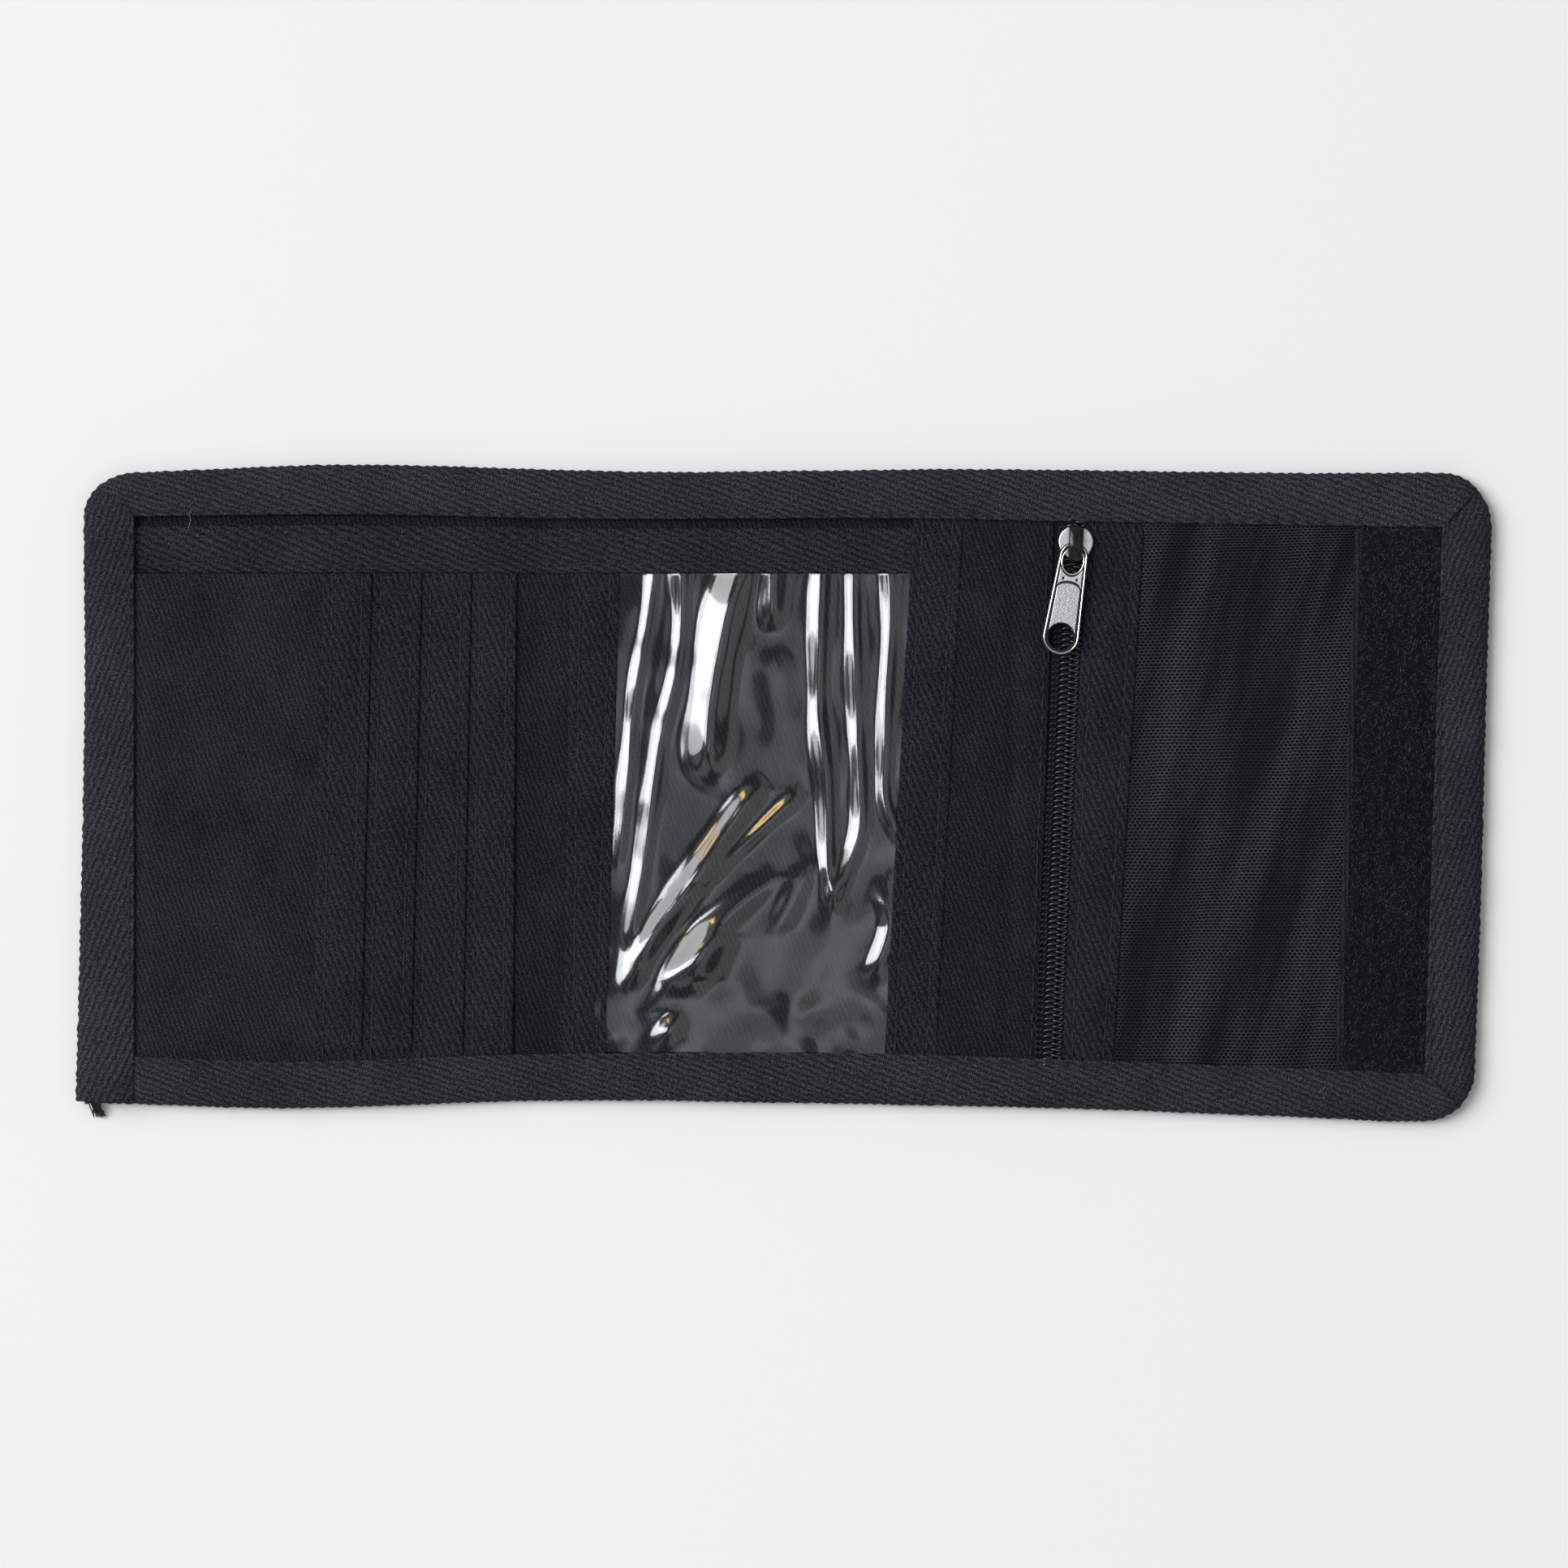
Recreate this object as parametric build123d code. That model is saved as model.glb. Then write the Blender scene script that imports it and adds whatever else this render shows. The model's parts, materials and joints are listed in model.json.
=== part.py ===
from build123d import *
import os

# Trifold wallet, lying open with its inner face up. Millimetres.
# The origin is at the bottom centre: X runs along the open wallet,
# Y across it, and Z up from the surface that it rests on.

# Outline of the open wallet
LENGTH = 269.2
WIDTH = 124.0
CORNER_RADIUS = 10.0
HALF_LENGTH = LENGTH / 2
HALF_WIDTH = WIDTH / 2

# Edge binding, a folded tape that runs round the whole edge
BINDING_WIDTH = 10.0
BINDING_LEG = 0.6
BINDING_FOLD = 0.8
BINDING_HEIGHT = 3.85
SPINE_BINDING_HEIGHT = 2.3
INNER_Y = HALF_WIDTH - BINDING_WIDTH

# Creases that the panels fold about. The two left ones are a spine's width apart.
LEFT_PANEL_CREASE_X = -49.6
LEFT_SPINE_CREASE_X = -43.4
RIGHT_CREASE_X = 42.5
CREASE_GAP = 0.1
RAISED_GAP = 1.2

# Heights of the cloth layers, each given by its lower and upper face
SHELL = (0.6, 1.1)
STIFFENER = (1.1, 1.5)
LINING = (1.5, 1.75)
NOTE_POCKET = (1.75, 2.05)
SPINE_LINING = (1.1, 1.4)
SPINE_NOTE_POCKET = (1.4, 1.7)
CLOTH = 0.3
EDGE_INSET = 0.9
STIFFENER_INSET = 7.0

# Seams, each as its X at the top binding and its X at the bottom binding:
# the pockets are sewn in slightly off square.
BOUND_EDGE = (-140.0, -140.0)
CARD_FOLDS = [(-78.3, -80.5), (-68.8, -71.0), (-59.4, -61.2), (-50.9, -51.7)]
CARD_TAPE_WIDTH = 9.4
WINDOW_TAPE_LEFT = (-40.6, -42.2)
WINDOW_TAPE_RIGHT = (-31.0, -33.9)
JOIN_TAPE_LEFT = (24.6, 19.2)
JOIN_TAPE_RIGHT = (34.2, 29.1)
ZIP_PANEL_EDGE = (51.6, 48.2)
ZIPPER_CENTRE = (55.8, 51.1)
ZIP_TAPE_RIGHT = (68.8, 62.9)
LOOP_STRIP_LEFT = (109.0, 105.1)
LOOP_STRIP_RIGHT = (124.4, 122.2)

# Banknote compartment and the pockets below its mouth
NOTE_TAPE_TOP = 50.6
NOTE_TAPE_BOTTOM = 41.8
POCKET_TOP = 41.6
SEWN_END = 60.5

# Hook strip on the outside, where the loop strip meets it when closed
HOOK_STRIP_X = (-68.0, -54.0)
HOOK_STRIP_END = 50.0

# Zipper: woven tapes, coils on top of them, slider and puller
ZIPPER_TAPE = (2.55, 2.8)
ZIP_PANEL = (2.8, 3.1)
COIL = (2.8, 3.9)
COIL_INNER = 0.35
COIL_OUTER = 1.7
ZIPPER_TAPE_REACH = 8.0
COIL_END = 51.4
EDGE_TAPE_START = 1.85
NYLON = (2.8, 3.05)
LOOP_PILE_TOP = 4.4

SLIDER_Y = 47.95
SLIDER_WIDTH = 6.4
SLIDER_LENGTH = 7.4
SLIDER_CORNER = 2.4
SLIDER_LOWER_PLATE = (1.9, 2.4)
SLIDER_UPPER_PLATE = (4.05, 4.6)
SLIDER_LIP = 0.5
SLIDER_LIP_LENGTH = 5.0
SLIDER_LIP_BOTTOM = 3.5
DIVIDER = (0.4, 2.0)
DIVIDER_Y = 2.3
BAIL_WIDTH = 2.2
BAIL_LENGTH = 7.2
BAIL_FOOT = 1.0
BAIL_TOP = 6.45
BAIL_THICKNESS = 0.6

PULLER_PIVOT = (55.5, 47.0, 5.2)
PULLER_TILT = -9.1
PULLER_THICKNESS = 1.0
PULLER_TOP_WIDTH = 5.2
PULLER_GRIP_RADIUS = 3.35
PULLER_GRIP_Y = -17.4
PULLER_GRIP_HOLE_RADIUS = 2.5
PULLER_RING_HOLE = (3.9, 5.3)


def seam_x(seam, y):
    """X of a seam line at the height y across the wallet."""
    top, bottom = seam
    return bottom + (top - bottom) * (y + INNER_Y) / (2 * INNER_Y)


def straight(x):
    """A seam that runs square across the wallet."""
    return (x, x)


def beside(seam, distance):
    """A seam parallel to another one, at a distance in X."""
    return (seam[0] + distance, seam[1] + distance)


def strip_face(left, right, bottom, top):
    """Flat four-sided face between two seams."""
    corners = [
        (seam_x(left, bottom), bottom),
        (seam_x(right, bottom), bottom),
        (seam_x(right, top), top),
        (seam_x(left, top), top),
    ]
    return Polygon(*corners, align=None)


def raise_face(face, low, high):
    """Solid of a flat face between two heights."""
    return extrude(Pos(0, 0, low) * face, high - low, dir=(0, 0, 1))


def strip(left, right, bottom, top, low, high):
    """Flat piece of cloth or tape between two seams and two heights."""
    return raise_face(strip_face(left, right, bottom, top), low, high)


def outline(inset):
    """The wallet's outline moved inwards. Its lower left corner is square."""
    sheet = Rectangle(LENGTH - 2 * inset, WIDTH - 2 * inset)
    square = sheet.vertices().sort_by_distance((-HALF_LENGTH, -HALF_WIDTH))[0]
    rounded = [corner for corner in sheet.vertices() if corner != square]
    return fillet(rounded, CORNER_RADIUS - inset)


def sewn_sheet(left, right, layer, bottom=-HALF_WIDTH, top=HALF_WIDTH):
    """Sheet that reaches into the binding, cut to the part between two seams."""
    face = strip_face(left, right, bottom, top) & outline(EDGE_INSET)
    return raise_face(face, *layer)


def folded_tape(left, right, bottom, top, low, edge, lip):
    """Tape one cloth thick at the height low, with a lip turned down to the
    height lip over the pocket's free edge, which is the left or right one."""
    tape = strip(left, right, bottom, top, low, low + CLOTH)
    if edge == "right":
        turned = strip(right, beside(right, CLOTH), bottom, top, lip, low + CLOTH)
    else:
        turned = strip(beside(left, -CLOTH), left, bottom, top, lip, low + CLOTH)
    return tape + turned


def binding_ring(height):
    """The whole edge binding: a U-shaped tape folded over the edge."""
    body = raise_face(outline(0), 0, height)
    room = raise_face(outline(BINDING_FOLD), BINDING_LEG, height - BINDING_LEG)
    opening = Rectangle(LENGTH - 2 * BINDING_WIDTH, 2 * INNER_Y)
    return body - room - raise_face(opening, 0, height)


def binding_section(corners, height=BINDING_HEIGHT):
    """One cut length of the edge binding, inside a polygon seen from above."""
    region = raise_face(Polygon(*corners, align=None), 0, height)
    return binding_ring(height) & region


def long_edge_section(side, outer_start, inner_start, inner_end, outer_end, height):
    """Length of the top (side 1) or bottom (side -1) binding between two X."""
    corners = [
        (inner_start, side * INNER_Y),
        (inner_end, side * INNER_Y),
        (outer_end, side * HALF_WIDTH),
        (outer_start, side * HALF_WIDTH),
    ]
    return binding_section(corners, height)


def end_bindings():
    """Bindings of the two short ends. The left one laps its lower corner."""
    left = [
        (-HALF_LENGTH, -HALF_WIDTH),
        (-HALF_LENGTH + BINDING_WIDTH, -HALF_WIDTH),
        (-HALF_LENGTH + BINDING_WIDTH, INNER_Y),
        (-HALF_LENGTH, HALF_WIDTH),
    ]
    right = [
        (HALF_LENGTH - BINDING_WIDTH, -INNER_Y),
        (HALF_LENGTH, -HALF_WIDTH),
        (HALF_LENGTH, HALF_WIDTH),
        (HALF_LENGTH - BINDING_WIDTH, INNER_Y),
    ]
    return {
        "binding_left": binding_section(left),
        "binding_right": binding_section(right),
    }


def long_bindings():
    """Top and bottom bindings, cut where the wallet folds."""
    inner_left = -HALF_LENGTH + BINDING_WIDTH
    inner_right = HALF_LENGTH - BINDING_WIDTH
    left_end = LEFT_PANEL_CREASE_X - RAISED_GAP
    spine_start = LEFT_PANEL_CREASE_X + CREASE_GAP
    spine_end = LEFT_SPINE_CREASE_X - CREASE_GAP
    centre_start = LEFT_SPINE_CREASE_X + RAISED_GAP
    centre_end = RIGHT_CREASE_X - CREASE_GAP
    right_start = RIGHT_CREASE_X + CREASE_GAP
    pieces = {}
    for name, side in (("top", 1), ("bottom", -1)):
        outer_left = -HALF_LENGTH if side == 1 else inner_left
        pieces[f"binding_{name}_left"] = long_edge_section(
            side, outer_left, inner_left, left_end, left_end, BINDING_HEIGHT
        )
        pieces[f"binding_{name}_left_spine"] = long_edge_section(
            side, spine_start, spine_start, spine_end, spine_end, SPINE_BINDING_HEIGHT
        )
        pieces[f"binding_{name}_centre"] = long_edge_section(
            side, centre_start, centre_start, centre_end, centre_end, BINDING_HEIGHT
        )
        pieces[f"binding_{name}_right"] = long_edge_section(
            side, right_start, right_start, inner_right, HALF_LENGTH, BINDING_HEIGHT
        )
    return pieces


def back_sheets():
    """Outer shell, stiffener and back lining of each panel and of the spine."""
    low_end = straight(LEFT_PANEL_CREASE_X - CREASE_GAP)
    raised_end = straight(LEFT_PANEL_CREASE_X - RAISED_GAP)
    spine_start = straight(LEFT_PANEL_CREASE_X + CREASE_GAP)
    spine_end = straight(LEFT_SPINE_CREASE_X - CREASE_GAP)
    low_start = straight(LEFT_SPINE_CREASE_X + CREASE_GAP)
    raised_start = straight(LEFT_SPINE_CREASE_X + RAISED_GAP)
    centre_end = straight(RIGHT_CREASE_X - CREASE_GAP)
    right_start = straight(RIGHT_CREASE_X + CREASE_GAP)
    right_edge = straight(HALF_LENGTH)
    stiff = STIFFENER_INSET
    return {
        "outer_shell_left": sewn_sheet(BOUND_EDGE, low_end, SHELL),
        "outer_shell_left_spine": sewn_sheet(spine_start, spine_end, SHELL),
        "outer_shell_centre": sewn_sheet(low_start, centre_end, SHELL),
        "outer_shell_right": sewn_sheet(right_start, right_edge, SHELL),
        "stiffener_left": sewn_sheet(BOUND_EDGE, beside(raised_end, -stiff), STIFFENER),
        "stiffener_centre": sewn_sheet(
            beside(raised_start, stiff), beside(centre_end, -stiff), STIFFENER
        ),
        "stiffener_right": sewn_sheet(beside(right_start, stiff), right_edge, STIFFENER),
        "back_lining_left": sewn_sheet(BOUND_EDGE, raised_end, LINING),
        "back_lining_left_spine": sewn_sheet(spine_start, spine_end, SPINE_LINING),
        "back_lining_centre": sewn_sheet(raised_start, centre_end, LINING),
        "back_lining_right": sewn_sheet(right_start, right_edge, LINING),
    }


def banknote_pocket():
    """Front of the banknote compartment and the tape along its open mouth."""
    parts = {
        "left": (BOUND_EDGE, straight(LEFT_PANEL_CREASE_X - RAISED_GAP), NOTE_POCKET),
        "left_spine": (
            straight(LEFT_PANEL_CREASE_X + CREASE_GAP),
            straight(LEFT_SPINE_CREASE_X - CREASE_GAP),
            SPINE_NOTE_POCKET,
        ),
        "centre": (
            straight(LEFT_SPINE_CREASE_X + RAISED_GAP),
            beside(JOIN_TAPE_LEFT, -CREASE_GAP),
            NOTE_POCKET,
        ),
    }
    pieces = {}
    for name, (left, right, layer) in parts.items():
        tape_left = left
        if name == "left":
            tape_left = straight(-HALF_LENGTH + BINDING_WIDTH)
        pieces[f"banknote_pocket_{name}"] = sewn_sheet(left, right, layer, top=NOTE_TAPE_TOP)
        tape = strip(
            tape_left, right, NOTE_TAPE_BOTTOM, NOTE_TAPE_TOP, layer[1], layer[1] + CLOTH
        )
        turned = strip(
            tape_left, right, NOTE_TAPE_TOP, NOTE_TAPE_TOP + CLOTH, layer[0], layer[1] + CLOTH
        )
        pieces[f"banknote_tape_{name}"] = tape + turned
    return pieces


def card_pockets():
    """Four card pockets in steps, all open to the right, each with an edge tape.
    Pocket 1 is the front one, and pocket 4 lies against the banknote pocket."""
    pieces = {}
    count = len(CARD_FOLDS)
    for index, fold in enumerate(CARD_FOLDS):
        low = NOTE_POCKET[1] + CLOTH * (count - 1 - index)
        layer = (low, low + CLOTH)
        start = beside(fold, -CARD_TAPE_WIDTH)
        if index > 0:
            start = beside(CARD_FOLDS[index - 1], CLOTH + CREASE_GAP)
        number = index + 1
        pieces[f"card_pocket_{number}"] = sewn_sheet(BOUND_EDGE, fold, layer, top=POCKET_TOP)
        pieces[f"card_tape_{number}"] = folded_tape(
            start, fold, -INNER_Y, POCKET_TOP, layer[1], "right", layer[0]
        )
    return pieces


def centre_pieces():
    """Clear card window, its tape, and the tape that joins it to the zipped panel."""
    window_low = NOTE_POCKET[1]
    window_high = window_low + CLOTH
    window_right = beside(JOIN_TAPE_LEFT, CARD_TAPE_WIDTH - 2)
    join_leg = strip(
        JOIN_TAPE_LEFT, beside(JOIN_TAPE_LEFT, CLOTH), -INNER_Y, POCKET_TOP,
        window_high, ZIP_PANEL[1],
    )
    join_tape = strip(
        JOIN_TAPE_LEFT, JOIN_TAPE_RIGHT, -INNER_Y, INNER_Y, ZIP_PANEL[1], ZIP_PANEL[1] + CLOTH
    )
    return {
        "id_window": strip(
            beside(WINDOW_TAPE_LEFT, CREASE_GAP), window_right, -SEWN_END, POCKET_TOP,
            window_low, window_high,
        ),
        "window_tape": folded_tape(
            WINDOW_TAPE_LEFT, WINDOW_TAPE_RIGHT, -INNER_Y, POCKET_TOP,
            window_high, "left", window_low,
        ),
        "join_tape": join_tape + join_leg,
        "zip_panel_centre": sewn_sheet(
            beside(JOIN_TAPE_LEFT, 1), straight(RIGHT_CREASE_X - CREASE_GAP), ZIP_PANEL
        ),
    }


def zipper():
    """Zipper tapes and coils, the cloth on both sides of them and the loop strip."""
    right_edge = straight(HALF_LENGTH)
    edge_left = beside(ZIPPER_CENTRE, EDGE_TAPE_START)
    pieces = {
        "zip_panel_right": sewn_sheet(
            straight(RIGHT_CREASE_X + CREASE_GAP), ZIP_PANEL_EDGE, ZIP_PANEL
        ),
        "coin_pocket_front": sewn_sheet(edge_left, right_edge, NYLON),
        "zip_edge_tape": strip(
            edge_left, ZIP_TAPE_RIGHT, -INNER_Y, INNER_Y, NYLON[1], NYLON[1] + CLOTH
        ),
        "loop_strip": strip(
            LOOP_STRIP_LEFT, LOOP_STRIP_RIGHT, -INNER_Y, INNER_Y, NYLON[1], LOOP_PILE_TOP
        ),
    }
    for name, side in (("left", -1), ("right", 1)):
        near = beside(ZIPPER_CENTRE, side * COIL_INNER)
        far = beside(ZIPPER_CENTRE, side * COIL_OUTER)
        tape_far = beside(ZIPPER_CENTRE, side * ZIPPER_TAPE_REACH)
        left, right = sorted((near, tape_far))
        pieces[f"zipper_tape_{name}"] = strip(
            left, right, -SEWN_END, SEWN_END, *ZIPPER_TAPE
        )
        left, right = sorted((near, far))
        pieces[f"zipper_coil_{name}"] = strip(left, right, -COIL_END, COIL_END, *COIL)
    return pieces


def slider():
    """Two plates joined by the divider, with lips over the coils and an arched
    bail on top that the puller's ring hangs from."""
    lower = raise_face(
        RectangleRounded(SLIDER_WIDTH, SLIDER_LENGTH, SLIDER_CORNER), *SLIDER_LOWER_PLATE
    )
    upper = raise_face(
        RectangleRounded(SLIDER_WIDTH, SLIDER_LENGTH, SLIDER_CORNER), *SLIDER_UPPER_PLATE
    )
    divider = raise_face(
        Pos(0, DIVIDER_Y) * Rectangle(*DIVIDER), SLIDER_LOWER_PLATE[1], SLIDER_UPPER_PLATE[0]
    )
    body = lower + divider + upper
    for side in (-1, 1):
        lip_x = side * (SLIDER_WIDTH - SLIDER_LIP) / 2
        lip = Pos(lip_x, 0) * Rectangle(SLIDER_LIP, SLIDER_LIP_LENGTH)
        lip_face = lip & RectangleRounded(SLIDER_WIDTH, SLIDER_LENGTH, SLIDER_CORNER)
        body += raise_face(lip_face, SLIDER_LIP_BOTTOM, SLIDER_UPPER_PLATE[0])
    arch = raise_face(Rectangle(BAIL_WIDTH, BAIL_LENGTH), SLIDER_UPPER_PLATE[1], BAIL_TOP)
    arch_room = raise_face(
        Rectangle(BAIL_WIDTH, BAIL_LENGTH - 2 * BAIL_FOOT),
        SLIDER_UPPER_PLATE[1],
        BAIL_TOP - BAIL_THICKNESS,
    )
    bail = fillet(
        arch.edges().filter_by(Axis.X).group_by(Axis.Z)[-1], BAIL_FOOT
    )
    lean = (ZIPPER_CENTRE[0] - ZIPPER_CENTRE[1]) / (2 * INNER_Y)
    place = Pos(seam_x(ZIPPER_CENTRE, SLIDER_Y), SLIDER_Y) * Rot(0, 0, -degrees_of(lean))
    return place * (body + (bail - arch_room))


def degrees_of(slope):
    """Angle of a small slope."""
    return Vector(1, slope).get_angle(Vector(1, 0))


def puller():
    """Tapered pull tab with a round grip hole and a ring round the bail."""
    half_top = PULLER_TOP_WIDTH / 2
    shoulder = PULLER_RING_HOLE[1]
    blade = Polygon(
        (-half_top, 0),
        (-half_top, -shoulder),
        (-PULLER_GRIP_RADIUS, PULLER_GRIP_Y),
        (PULLER_GRIP_RADIUS, PULLER_GRIP_Y),
        (half_top, -shoulder),
        (half_top, 0),
        align=None,
    )
    tip = Pos(0, PULLER_GRIP_Y) * Circle(PULLER_GRIP_RADIUS)
    grip_hole = Pos(0, PULLER_GRIP_Y) * Circle(PULLER_GRIP_HOLE_RADIUS)
    hole_width, hole_length = PULLER_RING_HOLE
    hole_end = Pos(0, -hole_length + hole_width / 2) * Circle(hole_width / 2)
    hole_sides = Pos(0, -(hole_length - hole_width / 2) / 2) * Rectangle(
        hole_width, hole_length - hole_width / 2
    )
    face = blade + tip - grip_hole - hole_end - hole_sides
    plate = raise_face(face, -PULLER_THICKNESS / 2, PULLER_THICKNESS / 2)
    ring_bar = Rot(0, 90, 0) * Cylinder(PULLER_THICKNESS / 2, PULLER_TOP_WIDTH)
    return Pos(*PULLER_PIVOT) * Rot(0, 0, PULLER_TILT) * (plate + ring_bar)


def hook_strip():
    """Hook half of the closure, sewn flat on the outer face of the left panel."""
    left, right = HOOK_STRIP_X
    return strip(
        straight(left), straight(right), -HOOK_STRIP_END, HOOK_STRIP_END, 0, SHELL[0]
    )


def wallet():
    """Every piece of the wallet by its name."""
    pieces = {}
    pieces.update(back_sheets())
    pieces.update(banknote_pocket())
    pieces.update(card_pockets())
    pieces.update(centre_pieces())
    pieces.update(zipper())
    pieces.update(end_bindings())
    pieces.update(long_bindings())
    pieces["hook_strip"] = hook_strip()
    pieces["slider_body"] = slider()
    pieces["zip_puller"] = puller()
    return pieces


for name, piece in wallet().items():
    export_step(piece, f"parts/{name}.step")
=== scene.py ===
import json
import math
import bpy
import numpy as np
from mathutils import Matrix, Vector


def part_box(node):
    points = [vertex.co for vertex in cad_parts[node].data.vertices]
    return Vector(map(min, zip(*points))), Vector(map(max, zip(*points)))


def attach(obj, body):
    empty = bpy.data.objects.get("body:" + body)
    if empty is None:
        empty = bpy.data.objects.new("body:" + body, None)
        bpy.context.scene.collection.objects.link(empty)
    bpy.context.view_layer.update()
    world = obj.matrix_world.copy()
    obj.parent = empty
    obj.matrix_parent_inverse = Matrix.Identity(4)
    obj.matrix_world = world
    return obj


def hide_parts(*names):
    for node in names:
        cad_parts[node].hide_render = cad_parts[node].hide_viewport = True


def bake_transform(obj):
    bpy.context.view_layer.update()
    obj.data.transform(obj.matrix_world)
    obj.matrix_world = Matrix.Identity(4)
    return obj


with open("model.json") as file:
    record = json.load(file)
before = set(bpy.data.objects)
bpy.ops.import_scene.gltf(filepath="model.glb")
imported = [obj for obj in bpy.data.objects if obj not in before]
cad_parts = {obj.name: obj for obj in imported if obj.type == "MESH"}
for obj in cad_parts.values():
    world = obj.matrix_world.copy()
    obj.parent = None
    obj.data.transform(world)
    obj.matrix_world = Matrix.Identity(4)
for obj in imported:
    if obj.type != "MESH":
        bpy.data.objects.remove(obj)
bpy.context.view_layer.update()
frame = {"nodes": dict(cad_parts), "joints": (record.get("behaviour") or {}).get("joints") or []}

# Lengths below are in millimetres in the CAD frame; MM turns them into metres.
MM = 0.001
rng = np.random.default_rng(7)

# ---------------- the frame's places


def seam(node, side, shift=0.0):
    """Left (-1) or right (1) edge of a CAD strip, as x in terms of y."""
    mesh = frame["nodes"][node].data
    flat = np.empty(len(mesh.vertices) * 3)
    mesh.vertices.foreach_get("co", flat)
    points = flat.reshape(-1, 3) / MM
    ends = []
    for end in (points[:, 1].min(), points[:, 1].max()):
        row = points[np.abs(points[:, 1] - end) < 0.05]
        ends.append((end, side * (side * row[:, 0]).max() + shift))
    (y0, x0), (y1, x1) = ends
    return lambda y: x0 + (np.asarray(y, float) - y0) * (x1 - x0) / (y1 - y0)


def line_at(x):
    """A seam that runs square across the wallet."""
    return lambda y: np.full_like(np.asarray(y, float), x)


def shifted(line, distance):
    """The same seam, moved sideways."""
    return lambda y: line(y) + distance


def point_on(line, y, inset=0.0):
    """The point of a seam at y, moved sideways by inset."""
    return float(line(y)) + inset, y


def low(node, axis):
    """Lowest x, y or z of a CAD node."""
    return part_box(node)[0][axis] / MM


def high(node, axis):
    """Highest x, y or z of a CAD node."""
    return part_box(node)[1][axis] / MM


def joint(name):
    return next(j for j in frame["joints"] if j["name"] == name)


HALF_LENGTH = high("binding_right", 0)
HALF_WIDTH = high("binding_top_centre", 1)
BINDING_WIDTH = high("binding_left", 0) - low("binding_left", 0)
INNER_X = HALF_LENGTH - BINDING_WIDTH
INNER_Y = HALF_WIDTH - BINDING_WIDTH
BINDING_TOP = high("binding_left", 2)

SHELL_TOP = high("outer_shell_centre", 2)
SHELL_THICK = SHELL_TOP - low("outer_shell_centre", 2)
LINING_TOP = high("back_lining_centre", 2)
LINING_THICK = LINING_TOP - low("back_lining_centre", 2)
COMPARTMENT_TOP = high("banknote_pocket_centre", 2)
CLOTH_THICK = COMPARTMENT_TOP - low("banknote_pocket_centre", 2)
MOUTH_TAPE_TOP = high("banknote_tape_centre", 1) - 0.5
MOUTH_TAPE_BOTTOM = low("banknote_tape_centre", 1)
MOUTH_TAPE_WIDTH = MOUTH_TAPE_TOP - MOUTH_TAPE_BOTTOM
POCKET_TOP = high("card_pocket_1", 1)
# The sewn cloths end this far above and below the middle
SEWN_END = -low("id_window", 1)

PANEL_CREASE, SPINE_CREASE, RIGHT_CREASE = [
    joint(name)["pos_m"][0] / MM for name in ("left_panel_fold", "left_spine_fold", "right_fold")
]
SPINE_MIDDLE = (PANEL_CREASE + SPINE_CREASE) / 2

# Where the cloth starts and stops turning at each crease
PANEL_BEND = (PANEL_CREASE - 2.4, SPINE_MIDDLE - 0.2)
SPINE_BEND = (SPINE_MIDDLE + 0.2, SPINE_CREASE + 2.4)
RIGHT_BEND = (RIGHT_CREASE - 6.2, RIGHT_CREASE + 6.2)

# How far the real cloth lies from the straight pattern. Each row has its y and the
# offsets along x, each column its x and the offsets along y; an empty one lies true.
ROWS = [
    (-HALF_WIDTH, [(-126, 2.7), (-104, 1.9), (-41, 3.3), (14, 2.6), (52, 1.8), (117, -0.7)]),
    (-INNER_Y, [(-124, 1.7), (-103, 0.9), (-45, 2.2), (21, 2.2), (55, 1.1), (122, -1.5)]),
    (46.0, []),
    (INNER_Y, [(-124, 0.7), (-85, 1.1), (-40, 0.3), (25, 0.3), (52, -0.2), (126, -1.4)]),
    (HALF_WIDTH, [(-126, -0.9), (-88, 0.6), (-25, -0.7), (35, -0.2), (98, -0.9), (130, -0.9)]),
]
COLUMNS = [
    (-HALF_LENGTH, [(-58, -0.6), (-30, 0.1), (0, 0.8), (22, 1.1), (45, 0.9)]),
    (-INNER_X, [(-50, 0.7), (50, 0.7)]),
    (-88.0, []),
    (109.0, []),
    (INNER_X, [(-52, -2.4), (52, 1.0)]),
    (HALF_LENGTH, [(-56, -2.9), (-19, -1.5), (18, -0.5), (50, 0.5)]),
]

# Width of tape turned under along each long edge
TURNED_UNDER = 1.0

# Upper faces of the card pockets, front pocket first, and of cloth under the binding
POCKET_LEVELS = {1: 3.75, 2: 3.3, 3: 2.85, 4: 2.4}
TUCKED_TOP = 3.1
TUCK_WIDTH = 3.5


def smooth_curve(keys, at):
    """Smooth curve through a few (place, value) keys."""
    places, values = np.array(keys, float).T
    at = np.clip(at, places[0], places[-1])
    slopes = np.gradient(values, places)
    i = np.clip(np.searchsorted(places, at) - 1, 0, len(places) - 2)
    step = places[i + 1] - places[i]
    t = (at - places[i]) / step
    return (
        values[i] * (1 + 2 * t) * (1 - t) ** 2
        + slopes[i] * step * t * (1 - t) ** 2
        + values[i + 1] * t * t * (3 - 2 * t)
        + slopes[i + 1] * step * t * t * (t - 1)
    )


def offset(across, along, lines):
    """Offset of places between rows or columns, mixed from the two beside them."""
    knots = [place for place, keys in lines]
    offsets = [smooth_curve(keys, along) if keys else np.zeros_like(along) for _, keys in lines]
    across = np.clip(across, knots[0], knots[-1])
    result = np.zeros_like(across)
    for k in range(len(knots) - 1):
        inside = (across >= knots[k]) & (across <= knots[k + 1])
        t = (across - knots[k]) / (knots[k + 1] - knots[k])
        result = np.where(inside, offsets[k] * (1 - t) + offsets[k + 1] * t, result)
    return result


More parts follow.
